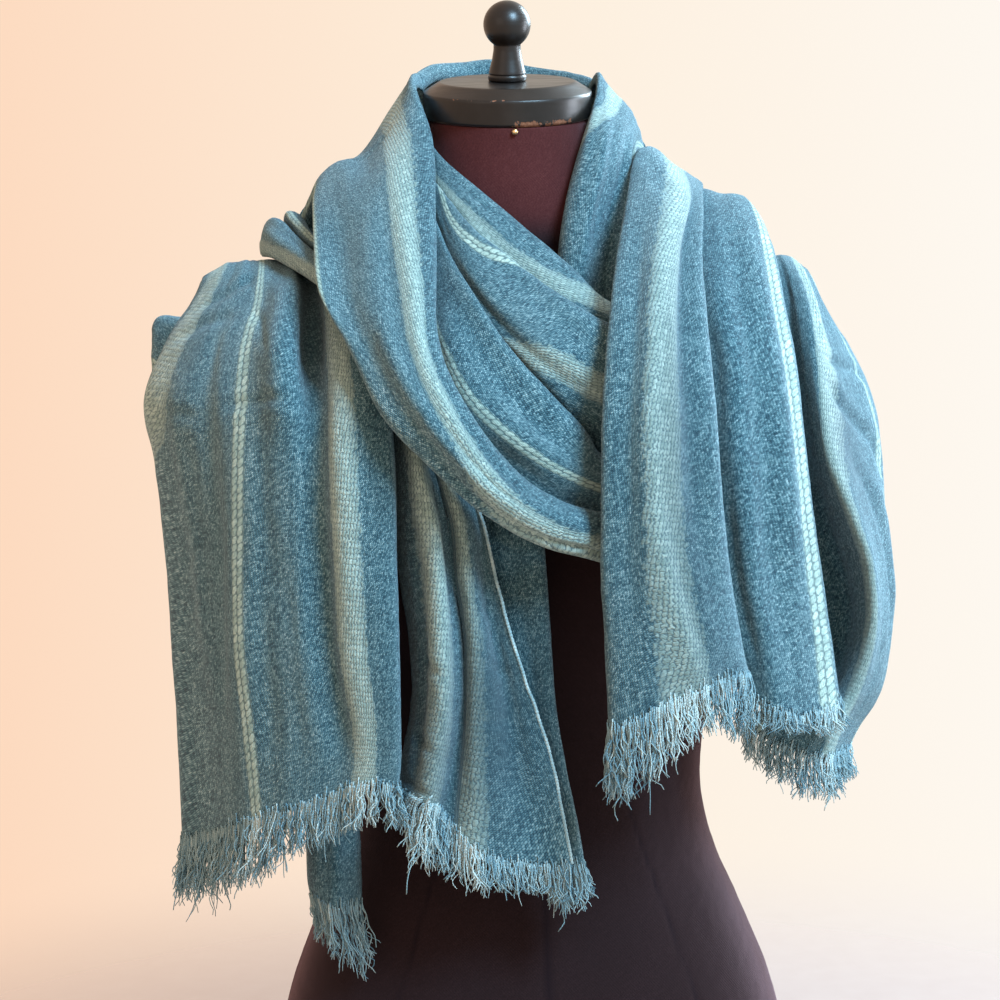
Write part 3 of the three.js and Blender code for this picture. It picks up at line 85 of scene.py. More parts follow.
# ---------------------------------------------------------------- the scarf's tables
# Each stretch: its folds (columns), where each fold lies across the cloth (u, mm from
# one selvedge), and its sections (rows) with the place [x, y, z] of every fold.
STRETCHES = {
    # the end that hangs in front of the left shoulder
    "left_front_end": {
        "folds": ["back_turn", "left_edge", "light_stripe", "valley_1", "narrow_stripe", "hollow", "valley_2", "wide_stripe", "right_edge", "turn_under"],
        "u": [168, 190, 210, 248, 290, 322, 348, 370, 412, 428],
        "urow": {3: [172, 192, 211, 248, 290, 322, 346, 368, 408, 424], 4: [180, 196, 212, 247, 290, 322, 346, 370, 412, 428], 5: [188, 204, 215, 246, 290, 322, 346, 370, 412, 428], 6: [206, 219, 227, 247, 290, 322, 346, 370, 412, 428], 7: [209, 223, 231, 248, 290, 322, 346, 370, 412, 428], 8: [209, 223, 231, 248, 290, 322, 348, 370, 412, 428], 9: [209, 223, 231, 248, 290, 322, 348, 370, 412, 428], 10: [209, 223, 231, 248, 290, 322, 348, 370, 412, 428]},
        "v0": 0,
        "rows": [
            [[-194, 60, 610], [-198, 55, 614], [-192, 62, 617], [-182, 68, 618], [-168, 71, 622], [-150, 70, 628], [-138, 68, 632], [-126, 66, 637], [-108, 62, 644], [-110, 59, 637]],
            [[-195.7, 44, 616.7], [-200.1, 40, 620.3], [-191.2, 38, 626], [-179, 36, 630.4], [-164.2, 34, 634], [-146.7, 32, 638.2], [-134.5, 30, 644.5], [-122.3, 28, 650.8], [-104.9, 24, 654.3], [-109, 26, 651.1]],
            [[-196.8, 14, 625], [-201, 8, 629.7], [-188.9, 4, 636.6], [-177.1, 0, 638.2], [-164.1, -2, 639.1], [-147.7, 0, 638.7], [-135.1, 2, 642.3], [-122.5, -2, 649.7], [-111.4, -7, 653.9], [-114.5, 2, 650.9]],
            [[-205.6, 30, 611.9], [-211.3, 2, 613.1], [-201.7, -20, 614.4], [-187.9, -38, 614.9], [-167.6, -58, 614.5], [-149, -75, 614.2], [-134, -68, 613], [-120.9, -88, 611.7], [-104.5, -104, 605.9], [-111.5, -92, 603.4]],
            [[-223.7, 36, 580.9], [-231, 6, 582.8], [-220.8, -24, 584.2], [-202.8, -54, 584.6], [-176.8, -86, 584.3], [-153.1, -114, 584.5], [-133.4, -98, 582.1], [-120.8, -126, 582.7], [-97.6, -140, 576.5], [-104.1, -124, 573.6]],
            [[-235.9, 40, 546.8], [-244.3, 8, 549.6], [-232.9, -28, 551.3], [-210, -66, 553.3], [-180.4, -102, 554.3], [-152.6, -132, 555.1], [-135.1, -124, 553.4], [-121.5, -150, 554.5], [-92.2, -157, 551.5], [-98.5, -140, 548.9]],
            [[-232.3, 40, 506.1], [-239.4, 6, 509.2], [-228.1, -30, 511.8], [-209, -70, 515.1], [-183, -110, 518.1], [-152.8, -137, 519.3], [-135, -143, 519.1], [-121.9, -162, 520.2], [-90.3, -166, 519.4], [-96.5, -149, 517]],
            [[-226.8, 38, 444.7], [-235.2, 2, 449.6], [-222.7, -34, 453.6], [-205.7, -72, 457.6], [-185.8, -112, 461.8], [-153.8, -139, 463.8], [-135.4, -148, 464.2], [-121, -165, 465.7], [-91, -168, 464.9], [-97.2, -151, 462.4]],
            [[-224.8, 34, 378], [-233.3, -2, 384.5], [-220.2, -36, 389.6], [-204.5, -74, 395.4], [-187, -113, 401.2], [-154.2, -140, 404.2], [-134, -150, 405], [-119.5, -165, 406.8], [-91.7, -168, 406.1], [-98, -151, 402.9]],
            [[-223.4, 30, 313.1], [-231.2, -6, 321.1], [-218.2, -38, 327.9], [-203.1, -75, 335.7], [-183.1, -112, 343.1], [-150.2, -139, 348.4], [-128.6, -150, 351.5], [-113.4, -163, 354.7], [-93.2, -166, 355.5], [-99.6, -150, 351.9]],
            [[-222.5, 26, 249.3], [-231.3, -8, 255.8], [-216.9, -40, 266.6], [-201, -76, 278.8], [-180.8, -111, 292.8], [-152.9, -137, 307.1], [-131.6, -149, 316.3], [-116.2, -161, 323.8], [-95.4, -164, 322.2], [-101.8, -148, 317.6]],
        ],
    },
    # the narrow tail that shows below and behind the left front end
    "left_rear_tail": {
        "folds": ["left_edge", "fold", "crest", "inner", "right_edge"],
        "u": [60, 76, 94, 108, 124],
        "v0": 100,
        "rows": [
            [[-147.6, -72, 450.1], [-140.5, -96, 451.6], [-130.8, -104, 451.6], [-122, -100, 451.4], [-114.2, -92, 451.3]],
            [[-148, -70, 385.6], [-140.9, -93, 388], [-131.2, -101, 387.7], [-122.3, -97, 387.8], [-114.4, -89, 387.3]],
            [[-149.1, -68, 320.4], [-141.9, -90, 322.9], [-132.1, -98, 322.9], [-123.2, -94, 322.8], [-115.3, -86, 322.6]],
            [[-150, -66, 260.9], [-142.7, -88, 265], [-132.8, -96, 265.9], [-123.8, -91, 264.7], [-116.5, -83, 263.5]],
            [[-149.5, -66, 237.8], [-142.3, -88, 240.2], [-132.4, -96, 240.6], [-124, -91, 240], [-116.7, -83, 240]],
            [[-147.9, -67, 230], [-140.2, -88, 230.3], [-132.2, -95, 229.9], [-124.4, -91, 228.9], [-117.1, -84, 228.5]],
        ],
    },
    # the front layer of the second end, beside the centre
    "left_inner_end": {
        "folds": ["tuck_left", "roll_left", "light_stripe", "valley", "second_stripe", "slope", "flat", "selvedge"],
        "u": [500, 512, 530, 552, 565, 580, 591, 603],
        "jump": (3, 131),
        "v0": 200,
        "rows": [
            [[-93.6, -118, 552.3], [-88.4, -124, 553.7], [-79.1, -130, 552.5], [-71.5, -124, 547.6], [-65.1, -126, 543.8], [-59.5, -123, 539.2], [-54.5, -121, 534], [-49.2, -121, 528.3]],
            [[-90, -130, 516.4], [-85.8, -142, 517.8], [-76.2, -160, 518.4], [-66.2, -143, 510.5], [-59.6, -150, 508.5], [-52.7, -146, 505.5], [-48.3, -143, 502], [-44.8, -144, 498.9]],
            [[-89.5, -132, 479.9], [-85.3, -144, 481.1], [-70.9, -170, 483.4], [-59.2, -149, 480], [-52.3, -160, 481.5], [-45.1, -154, 480], [-41.6, -149, 479.3], [-38.8, -151, 479.4]],
            [[-88.1, -132, 446.1], [-82.9, -146, 447.8], [-67.9, -171, 450.5], [-57.1, -149, 447.1], [-50.4, -162, 448.6], [-42, -155, 447.3], [-36.5, -149, 445.6], [-32, -152, 445.8]],
            [[-83.3, -132, 405.8], [-78.2, -147, 408], [-67.9, -171, 411.5], [-52.3, -150, 407.3], [-46.8, -162, 409], [-36.3, -154, 406.6], [-28.6, -149, 404.8], [-22.3, -153, 404.6]],
            [[-83.4, -132, 365.4], [-78.8, -147, 368.1], [-67.8, -170, 371.4], [-53.6, -150, 366.2], [-47.2, -161, 368.7], [-31.4, -154, 366.5], [-19.9, -149, 365], [-9.9, -153, 364.7]],
            [[-90.6, -132, 331.4], [-85.9, -146, 334.3], [-73.5, -168, 337.2], [-58.3, -150, 330.6], [-48.9, -161, 330.7], [-29.5, -155, 327.1], [-13.7, -150, 323.9], [1.3, -153, 322.6]],
            [[-94.3, -132, 314.1], [-90.1, -144, 315.4], [-77.6, -165, 314.1], [-63.4, -150, 301.7], [-49.9, -160, 294.7], [-28.7, -155, 289.8], [-10.3, -150, 288.8], [6, -153, 291.2]],
            [[-94.9, -132, 312.2], [-91.3, -143, 313.3], [-78.8, -164, 311.5], [-64.2, -150, 295.5], [-50.3, -160, 279.9], [-29.3, -155, 269.3], [-9.1, -150, 263.7], [10.3, -153, 265.2]],
        ],
    },
    # the layer behind it
    "left_inner_rear": {
        "folds": ["tuck", "mid_left", "mid", "light_edge", "turn_under"],
        "u": [552, 566, 580, 594, 602],
        "v0": 300,
        "rows": [
            [[-52.2, -128, 508.7], [-40.5, -134, 511.2], [-28.5, -137, 513.5], [-16.3, -138, 515.5], [-20.7, -128, 516.1]],
            [[-41.8, -131, 477.9], [-29, -138, 479.4], [-16.4, -141, 479.8], [-4.2, -141, 479.9], [-9, -130, 478.9]],
            [[-36.6, -131, 443.8], [-24.4, -138, 444.2], [-12.5, -141, 444.1], [-0.8, -141, 443.6], [-5.7, -130, 442.3]],
            [[-30.4, -131, 403.2], [-19.4, -138, 403.8], [-8.7, -141, 403.8], [1.2, -141, 403.4], [-3.6, -130, 401.8]],
            [[-21.7, -131, 359.1], [-12.5, -138, 360], [-4.9, -141, 360.2], [3.2, -141, 359.8], [-1.7, -130, 357.9]],
            [[-9, -131, 320.7], [-3, -138, 321.9], [2.6, -143, 322.8], [8.6, -144, 322.7], [4.6, -132, 320.2]],
            [[-2.4, -131, 285.5], [3, -138, 287], [8.3, -145, 288.4], [14.8, -147, 288.6], [11, -134, 285.5]],
            [[-1.8, -131, 259.4], [4.8, -138, 259.6], [10.6, -146, 261.5], [17.8, -148, 262.8], [14.1, -134, 259.3]],
        ],
    },
    # the roll that runs from the left shoulder across the chest to the right
    "neck_loop_front": {
        "folds": ["outer_turn", "outer_edge", "band_1", "band_2", "light_stripe", "band_3", "inner_edge", "inner_turn"],
        "u": [462, 450, 425, 398, 370, 356, 346, 332],
        "urow": {5: [452, 440, 418, 396, 370, 356, 346, 332], 6: [440, 426, 408, 390, 370, 356, 346, 332], 7: [424, 410, 397, 384, 370, 356, 344, 330], 8: [402, 390, 381, 372, 362, 352, 342, 328], 9: [394, 382, 374, 366, 356, 348, 338, 326], 10: [394, 382, 374, 366, 356, 348, 338, 326]},
        "v0": 400,
        "rows": [
            [[-131, 56.5, 651], [-138, 51.5, 663], [-114, 47.5, 692], [-92, 41.5, 712], [-74, 35.5, 738], [-62, 31.5, 754], [-56, 27.5, 760], [-53, 25.5, 749]],
            [[-121.5, 18, 679], [-128.1, 12, 684.8], [-112.5, 8, 701.9], [-92.8, 4, 705.9], [-74.5, 0, 729.9], [-67, -3, 743.1], [-62.1, -3, 752.7], [-59.9, 3, 747.3]],
            [[-121.6, -36, 667.7], [-129.8, -38, 673], [-111.8, -56, 678.3], [-93.9, -68, 683.7], [-77.3, -62, 699.7], [-64.2, -58, 705.8], [-54.4, -48, 711.2], [-58.1, -36, 709.4]],
            [[-122.3, -73, 647], [-130.5, -81, 649], [-111.8, -94, 648.9], [-94.1, -110, 650.7], [-78.8, -112, 657.5], [-66.7, -108, 662.1], [-57.7, -96, 665.8], [-61, -82, 665.7]],
            [[-121.8, -122, 618.8], [-129.8, -127, 617.9], [-111.4, -132, 617.4], [-92.9, -146, 619.4], [-77.7, -151, 621.3], [-67.2, -147, 623.4], [-60.8, -135, 624.9], [-64, -121, 624.4]],
            [[-107.1, -146, 586.5], [-114.7, -156, 585.9], [-101.3, -171, 585.4], [-87.9, -182, 586], [-76.4, -185, 587.4], [-68.4, -180, 589.9], [-63.3, -168, 592.3], [-66.4, -155, 590.9]],
            [[-86.4, -174, 544.7], [-93.6, -186, 542.2], [-84, -200, 546.8], [-74.5, -207, 551.5], [-66.2, -205, 556.9], [-60.1, -196, 560.8], [-56, -183, 562.9], [-58.7, -172, 559.5]],
            [[-69.2, -180, 526.3], [-76, -192, 523.4], [-68.8, -205, 527.6], [-62.2, -210, 531.8], [-55.6, -209, 536.7], [-50.1, -200, 541], [-45.8, -187, 543.5], [-48.4, -176, 540.5]],
            [[-45.4, -182, 500.2], [-50.8, -194, 497.5], [-45.4, -206, 501.4], [-40, -211, 505.7], [-34.5, -209, 509.4], [-29.4, -200, 513], [-25.6, -188, 515.3], [-28.1, -178, 512.2]],
            [[-10.3, -175, 476.7], [-14.9, -187, 471.8], [-12.4, -197, 477], [-9.3, -201, 482.6], [-6.1, -200, 487.6], [-3.3, -193, 492], [-0.9, -184, 495.2], [-2.7, -175, 491.9]],
            [[32.4, -164, 461.1], [30.8, -173, 455], [30.5, -180, 460.7], [30.8, -183, 467.1], [31.7, -182, 473.5], [33, -178, 479.5], [33.9, -173, 483.7], [33, -167, 480.7]],
            [[66, -152, 451.5], [64.4, -160, 445.2], [63.4, -166, 450.9], [63.2, -168, 457.9], [63.6, -167, 465], [64.2, -164, 471.3], [64.7, -162, 475.9], [63.9, -159, 473.1]],
        ],
    },
    # the upper turn across the front of the neck
    "neck_cross_upper": {
        "folds": ["rim_turn", "rim", "band_1", "band_2", "tuck"],
        "u": [-8, 4, 24, 44, 60],
        "slip": [10, 8, 10, 14, 26, 40, 50, 52],
        "out": -1,
        "v0": 500,
        "rows": [
            [[-55, -28, 705.9], [-53.1, -38, 708.6], [-54.5, -45, 700.6], [-55.6, -47, 693], [-56.2, -44, 686.2]],
            [[-52.1, -38, 699], [-49.1, -49, 701.6], [-51.2, -56, 693.1], [-52.8, -58, 685.6], [-53.4, -54, 679.4]],
            [[-28.9, -58, 676.8], [-25.6, -70, 677.6], [-31.4, -81, 668.7], [-36.2, -83, 661.3], [-38.5, -79, 655.3]],
            [[0.9, -70, 650], [3.6, -84, 650.3], [-4.5, -97, 639.9], [-10.7, -100, 631.4], [-14.7, -95, 624.1]],
            [[26.1, -90, 625.4], [29.5, -102, 625.4], [22.8, -117, 615.8], [17.7, -121, 607.5], [14.6, -115, 600.7]],
            [[42.6, -100, 609.5], [44.6, -111, 609], [40.9, -126, 600.1], [38.4, -129, 592.4], [37.9, -123, 585.5]],
            [[64.3, -104, 598.4], [66.4, -114, 597.3], [63.1, -128, 587.9], [61.2, -131, 579.5], [61.5, -125, 573.2]],
            [[76.6, -105, 591.8], [78.8, -114, 590.8], [75.4, -128, 581.4], [73.5, -131, 573], [73.8, -125, 566.7]],
        ],
    },
    # the middle turn below it
    "neck_cross_middle": {
        "folds": ["crest_turn", "crest", "band_1", "band_2", "tuck"],
        "u": [150, 166, 190, 214, 232],
        "urow": {4: [150, 166, 190, 214, 240], 5: [150, 166, 190, 222, 256], 6: [150, 166, 194, 226, 262]},
        "slip": [-30, -50, -50, -30, 0, 0, 0],
        "out": -1,
        "v0": 600,
        "rows": [
            [[-56.4, -54, 683.3], [-54.6, -64, 685.4], [-56, -70, 675.8], [-57, -71, 666.5], [-57.5, -67, 659.1]],
            [[-51.3, -66, 673.3], [-48.4, -77, 675.4], [-51.1, -84, 666], [-52.8, -86, 657.4], [-53.3, -82, 650]],
            [[-36, -92, 652.5], [-32.2, -104, 652.2], [-38.3, -112, 640.1], [-43.5, -112, 629.9], [-46.2, -105, 621.4]],
            [[-8.8, -110, 628.3], [-5.3, -122, 627.6], [-15.8, -135, 612.2], [-24.1, -136, 599.9], [-28.4, -128, 591.4]],
            [[18.9, -130, 606.9], [22.1, -142, 605.8], [11.6, -157, 586.7], [3.6, -160, 571], [2.3, -148, 552.5]],
            [[36.8, -140, 596.3], [39.5, -150, 594.7], [35.1, -163, 573.1], [32.4, -161, 548], [28.5, -146, 518.2]],
            [[65.4, -140, 585.8], [67.4, -149, 584.2], [64.8, -161, 560.1], [64.8, -158, 534.7], [65, -142, 499.4]],
        ],
    },
    # the lowest turn, which dips to the crossing
    "neck_cross_lower": {
        "folds": ["crest_turn", "crest", "band_1", "narrow_stripe", "band_2", "tuck"],
        "u": [236, 250, 270, 290, 318, 345],
        "out": -1,
        "v0": 700,
        "rows": [
            [[-58.9, -76, 657.7], [-56.3, -84, 660.6], [-58.8, -88, 651.9], [-60.9, -88, 643.3], [-62.3, -86, 634.1], [-63.6, -83, 625.5]],
            [[-53.6, -96, 638.8], [-50.6, -105, 640.4], [-57.4, -108, 626.6], [-62.8, -109, 613.3], [-67.5, -108, 600], [-71.2, -104, 589.6]],
            [[-43.6, -122, 616.5], [-39.7, -132, 615.9], [-48.5, -137, 600], [-57.7, -140, 583.6], [-64.6, -138, 569.3], [-69.9, -131, 557.7]],
            [[-25.2, -142, 584.4], [-20.9, -152, 582.8], [-32.5, -160, 565.1], [-42.9, -165, 550.9], [-51.6, -164, 535.7], [-58.4, -156, 524]],
            [[-1.7, -156, 556.1], [2.4, -166, 554.7], [-9.8, -174, 537.2], [-20, -178, 528.4], [-28.8, -168, 513.1], [-35.8, -157, 499.8]],
            [[20.1, -156, 533.7], [24, -166, 530.7], [14.6, -175, 516.9], [7, -177, 510.2], [-1.2, -168, 491.8], [-7, -158, 477.1]],
            [[29.5, -156, 519], [33.1, -164, 517.1], [32.2, -172, 506.4], [32.6, -172, 498], [31.6, -160, 478.2], [30, -152, 463.9]],
            [[61.4, -150, 508.8], [64.4, -157, 508.1], [63.7, -163, 497.2], [64.5, -161, 487.3], [64.7, -151, 469.7], [64.2, -145, 456.8]],
        ],
    },
    # the collar that comes down on the right of the neck
    "neck_collar_right": {
        "folds": ["outer_turn", "outer_edge", "band_1", "band_2", "light_stripe", "band_3", "inner_edge", "inner_turn"],
        "u": [462, 450, 425, 398, 370, 356, 346, 332],
        "urow": {3: [453, 444, 426, 408, 387, 376, 368, 358], 4: [444, 438, 428, 418, 404, 396, 390, 385], 5: [444, 438, 428, 418, 404, 396, 390, 385], 6: [444, 438, 428, 418, 404, 396, 390, 385], 7: [444, 438, 428, 418, 404, 396, 390, 385]},
        "out": -1,
        "v0": 800,
        "rows": [
            [[97, 54.5, 698], [100, 50.5, 706], [96, 46.5, 716], [88, 42.5, 727], [78, 37.5, 739], [69, 33.5, 748], [63, 30.5, 754], [59, 28.5, 744]],
            [[86.8, 8, 702], [85.3, 2, 709.6], [85.7, -1, 720], [80.9, -3, 731], [70.9, -4, 739.7], [64.4, -4, 746.3], [61.5, -2, 751.7], [61, 4, 746.3]],
            [[84.1, 0, 699.1], [82.8, -8, 705.2], [81.4, -14, 715.3], [76.1, -19, 724.9], [64.7, -25, 730.5], [58.1, -26, 734.4], [56.1, -22, 737.3], [56.7, -13, 733.4]],
            [[82.5, -8, 690.8], [79.1, -18, 700.9], [77.1, -27, 709.5], [70.8, -34, 716.3], [59.5, -44, 719.7], [52.6, -43, 721.2], [49.6, -37, 722.3], [49.5, -28, 719]],
            [[81, -38, 670.3], [74.5, -50, 678.4], [70.3, -45, 683.1], [61.7, -50, 686.3], [51.2, -64, 688.5], [43.8, -62, 689.4], [38.1, -53, 689.9], [36.9, -42, 686.6]],
            [[75, -58, 641.9], [68.3, -72, 648.8], [60, -60, 652.4], [50.3, -65, 655.1], [41, -76, 657], [34.3, -74, 657.8], [28.5, -65, 658.2], [28, -54, 654.6]],
            [[68.8, -68, 615.3], [61.2, -80, 621.3], [53.1, -71, 624], [44.7, -76, 626.8], [36.2, -82, 629.5], [29.6, -80, 631], [23.7, -72, 631.8], [23, -62, 628]],
            [[62.8, -75, 596.6], [56.4, -83, 600.7], [49.1, -77, 602.1], [41, -80, 603.7], [33.5, -84, 605.8], [26.8, -82, 607.2], [20.8, -75, 608], [19.9, -67, 605.3]],
        ],
    },
    # the end that hangs from under the crossing on the right
    "right_front_end": {
        "folds": ["left_turn", "left_edge", "band_1", "wide_stripe", "band_2", "fold_edge", "fold_turn"],
        "u": [318, 332, 350, 370, 388, 412, 428],
        "v0": 900,
        "rows": [
            [[36, 97, 688], [38, 100, 696], [45, 103, 692], [56, 108, 680], [66, 112, 664], [76, 116, 648], [74, 114, 640]],
            [[87, 72, 672], [81, 70, 678], [90, 75, 680], [101, 79, 675], [110, 81, 667], [120, 83, 658], [116, 81, 650]],
            [[99.9, 38, 688.4], [95.8, 34, 691.7], [104.6, 36, 696.3], [118, 38, 692], [128, 40, 686.5], [135.9, 42, 679.6], [130.3, 46, 675.7]],
            [[90.1, -8, 698.5], [84.5, -14, 702.9], [93.9, -10, 706.8], [111.5, -4, 693], [120.5, -2, 687.6], [128.9, 0, 682.2], [125.8, 12, 678.7]],
            [[75.9, -64, 673.4], [67.9, -74, 674.6], [78.9, -84, 676.4], [101.1, -84, 670.9], [109.5, -74, 669.8], [116.3, -62, 667.4], [113.6, -46, 666.7]],
            [[60.3, -118, 635.5], [51.5, -130, 635.7], [62.4, -142, 635.9], [81.2, -143, 635.4], [92.5, -132, 634.5], [104.1, -114, 634.3], [101.5, -95, 633.3]],
            [[46.9, -163, 588.2], [37.8, -175, 588.8], [50.3, -186, 588.8], [68.5, -187, 588.2], [83.1, -176, 587.4], [99.3, -158, 585.8], [97.1, -138, 584.7]],
            [[39.2, -182, 542], [30.2, -194, 543], [43.9, -204, 543.2], [62.5, -205, 542.6], [80.9, -195, 541.3], [100, -177, 538.9], [98, -157, 537.1]],
            [[36.7, -187, 492.8], [27.7, -199, 494.4], [42.2, -208, 494.7], [62.1, -208, 494], [81.6, -199, 492.3], [101.7, -182, 489.2], [99.7, -162, 486.6]],
            [[35.8, -186, 445.2], [26.8, -198, 447.2], [41.3, -207, 447.8], [65.5, -207, 446.8], [86.2, -198, 444.6], [106.6, -181, 440.8], [104.6, -161, 437.5]],
            [[37.7, -183, 402.6], [28.7, -195, 405.1], [43.3, -204, 405.9], [74.7, -204, 404.5], [93.9, -195, 402.1], [113.8, -178, 398.3], [111.9, -158, 394.3]],
            [[39.6, -180, 356], [30.4, -192, 356.5], [44, -201, 363], [76.6, -201, 377.6], [95.3, -192, 382.2], [117.6, -176, 381.3], [115.5, -157, 376]],
        ],
    },
    # the layer beside it
    "right_side_panel": {
        "folds": ["tuck", "valley", "band_1", "band_2", "narrow_stripe", "right_edge", "turn_under"],
        "u": [390, 400, 418, 434, 450, 457, 470],
        "v0": 1000,
        "rows": [
            [[132, 68, 659], [140, 68, 660], [151, 68, 658], [162, 68, 655], [170, 68, 649], [174, 68, 643], [170, 70, 638]],
            [[129.8, 44, 668.9], [137.8, 42, 670], [150.3, 42, 668.3], [162.9, 42, 668], [170.9, 44, 662.4], [176.2, 46, 656.8], [173.3, 52, 654.3]],
            [[124.8, 18, 674.9], [131.5, 10, 678.5], [142.9, 6, 674.8], [154.8, 4, 673.8], [162.6, 6, 668.3], [168.9, 10, 659.6], [166.2, 20, 656.5]],
            [[112.7, -36, 655.4], [121.3, -36, 656.4], [133.9, -42, 656], [148.9, -40, 655.7], [161.1, -30, 654.3], [167.3, -20, 649], [165.7, -6, 646.7]],
            [[107.6, -60, 634.6], [114.7, -64, 635.7], [128.6, -72, 635.9], [145.3, -70, 636.1], [159.1, -58, 635.8], [166.5, -46, 635.7], [164.8, -30, 634.6]],
            [[101.7, -94, 602.1], [108.8, -100, 603.2], [123.8, -110, 602.9], [141, -107, 602.4], [156.7, -94, 601.7], [164.7, -82, 601.3], [163, -64, 599.8]],
            [[103.5, -120, 565.5], [111, -126, 566.1], [124.5, -136, 566.1], [141.6, -132, 565.4], [157.8, -117, 564.2], [166.6, -104, 563.4], [164.5, -86, 562]],
            [[102.9, -132, 527.9], [109.8, -138, 528.1], [123.4, -147, 528.2], [142.5, -142, 527.2], [160.1, -126, 525.5], [168.3, -113, 524.3], [166.5, -94, 521.7]],
            [[104.6, -138, 485.2], [111.7, -143, 485.4], [125.5, -151, 485.7], [144.9, -145, 484.3], [164.1, -128, 481.9], [172.4, -115, 480.2], [170.6, -96, 477.1]],
            [[108.7, -138, 435.4], [116.4, -143, 435.8], [129.9, -150, 436.2], [149, -143, 434.4], [170, -127, 431.3], [179, -114, 429.1], [177.3, -95, 425.3]],
            [[116.4, -137, 392.4], [124.1, -142, 392.9], [135.9, -148, 393.4], [153.9, -141, 391.4], [175.4, -126, 387.9], [185.2, -113, 385.2], [183.5, -94, 380.8]],
            [[123.6, -136, 361.7], [130.7, -141, 360.4], [141.2, -147, 353.6], [157.3, -140, 348.2], [179, -125, 346.7], [189.3, -113, 349.6], [187.4, -95, 345.6]],
        ],
    },
    # the broad fold over the right shoulder
    "right_side_drape": {
        "folds": ["hidden_left", "valley_bottom", "valley_side", "lip_inside", "lip", "band", "outer_edge", "back_turn", "back_end"],
        "u": [440, 466, 486, 508, 530, 568, 610, 648, 690],
        "urow": {0: [440, 466, 484, 500, 518, 543, 650, 668, 690], 1: [440, 466, 484, 500, 518, 543, 650, 668, 690], 2: [440, 466, 484, 500, 518, 543, 650, 668, 690], 3: [440, 466, 484, 500, 518, 543, 642, 664, 690], 4: [440, 466, 484, 500, 519, 545, 629, 656, 690], 5: [440, 466, 485, 503, 523, 553, 619, 650, 690], 6: [440, 466, 486, 506, 528, 563, 613, 648, 690]},
        "v0": 1100,
        "rows": [
            [[178.9, 48, 622.4], [184.1, 46, 623.6], [188.4, 46, 624.9], [193.3, 46, 625.4], [197.6, 46, 624.6], [203, 48, 621.7], [208.1, 52, 618.8], [208.6, 66, 613.1], [208.6, 90, 608.7]],
            [[170, 2, 629.3], [175.3, 1, 631.2], [179.4, -2, 632.4], [183.7, -4, 632.3], [188, -3, 630.8], [196.5, 4, 626.6], [203.7, 14, 621], [206.6, 40, 616.1], [209.1, 80, 611.6]],
            [[160.5, -44, 604.7], [170, -43, 604.4], [175.7, -47, 604.3], [180.2, -56, 605], [185.4, -59, 604.8], [196.3, -42, 603], [208.9, -8, 598.8], [214.7, 34, 596.7], [216.1, 86, 594.4]],
            [[156.7, -70, 573.2], [169.5, -60, 572.4], [175.3, -66, 572.4], [179.1, -80, 572.8], [183.7, -85, 572.8], [200.6, -60, 570.1], [228.3, -6, 568.7], [236.2, 42, 565.4], [230.3, 92, 562.3]],
            [[156.5, -80, 540.3], [170.7, -64, 538.9], [177, -68, 538.9], [179.9, -88, 540], [183.7, -96, 540.3], [205.9, -66, 536.5], [243, -4, 533], [250.2, 48, 528.3], [241.2, 96, 524.4]],
            [[158.5, -80, 506.2], [173.4, -56, 503.7], [181.6, -58, 502.9], [182.9, -90, 505.5], [186.9, -102, 506.3], [212.9, -68, 501.9], [248, -2, 495.9], [254.7, 50, 490], [244.2, 98, 484.9]],
            [[163.3, -74, 468.6], [180.5, -44, 464.7], [194.6, -44, 462.8], [197.7, -84, 467], [201.3, -100, 468.6], [223.6, -64, 463.8], [251.1, -2, 456.1], [256.6, 48, 449], [244.1, 94, 443.1]],
            [[168.1, -68, 428.5], [186.8, -38, 423.7], [207, -36, 421.2], [212.4, -74, 426.8], [216, -90, 429.4], [234, -54, 423.2], [253.6, -4, 414.9], [257.3, 42, 407.1], [242.9, 86, 400.3]],
            [[171.2, -64, 388.2], [190.8, -36, 382.8], [210.6, -36, 380.6], [215.6, -68, 386.8], [219.1, -82, 389.6], [235.4, -50, 383], [252.1, -8, 375.5], [254.1, 32, 367.6], [237.3, 72, 360.4]],
            [[175.1, -62, 349.1], [191.5, -42, 343.9], [200.5, -44, 343.2], [203.1, -68, 348.2], [209.1, -78, 351.2], [224.4, -54, 345.3], [241.3, -20, 336.7], [241.6, 14, 328.8], [226.2, 48, 321.7]],
            [[140.1, -92, 340.8], [160, -88, 335.1], [175.6, -86, 330.6], [185.9, -87, 329], [195.5, -83, 327], [208.1, -63, 322.3], [221.5, -36, 316.1], [221.3, -8, 309], [208.7, 20, 302.4]],
            [[130.9, -98, 334.6], [148.6, -94, 323.1], [165.1, -90, 314.2], [177.2, -89, 310.1], [187.2, -86, 308.9], [199.9, -68, 306.3], [211.6, -44, 304.6], [211.5, -18, 297.7], [200.8, 6, 291.7]],
        ],
    },
    # a folded edge over the left shoulder
    "left_shoulder_roll": {
        "folds": ["turn_under", "low_edge", "stripe_low", "stripe_high", "dark", "crest", "back_turn"],
        "u": [196, 206, 209, 222, 234, 246, 258],
        "v0": 1200,
        "rows": [
            [[-151.1, 40, 643.7], [-157.1, 46, 643.9], [-160.3, 48, 648], [-159.4, 48, 653.4], [-156.5, 46, 658.7], [-152.4, 42, 662.5], [-149.2, 36, 659]],
            [[-157.3, 16, 644.4], [-163.3, 22, 643.2], [-164.4, 24, 647.9], [-163.5, 25, 653.9], [-161.2, 23, 661.1], [-156.4, 18, 666.1], [-152, 12, 662.6]],
            [[-151.5, -6, 645.3], [-157.6, -10, 641.6], [-158.8, -17, 644.8], [-158.6, -21, 651.2], [-156.9, -17, 658.9], [-152.7, -6, 664.9], [-147.6, 2, 661.6]],
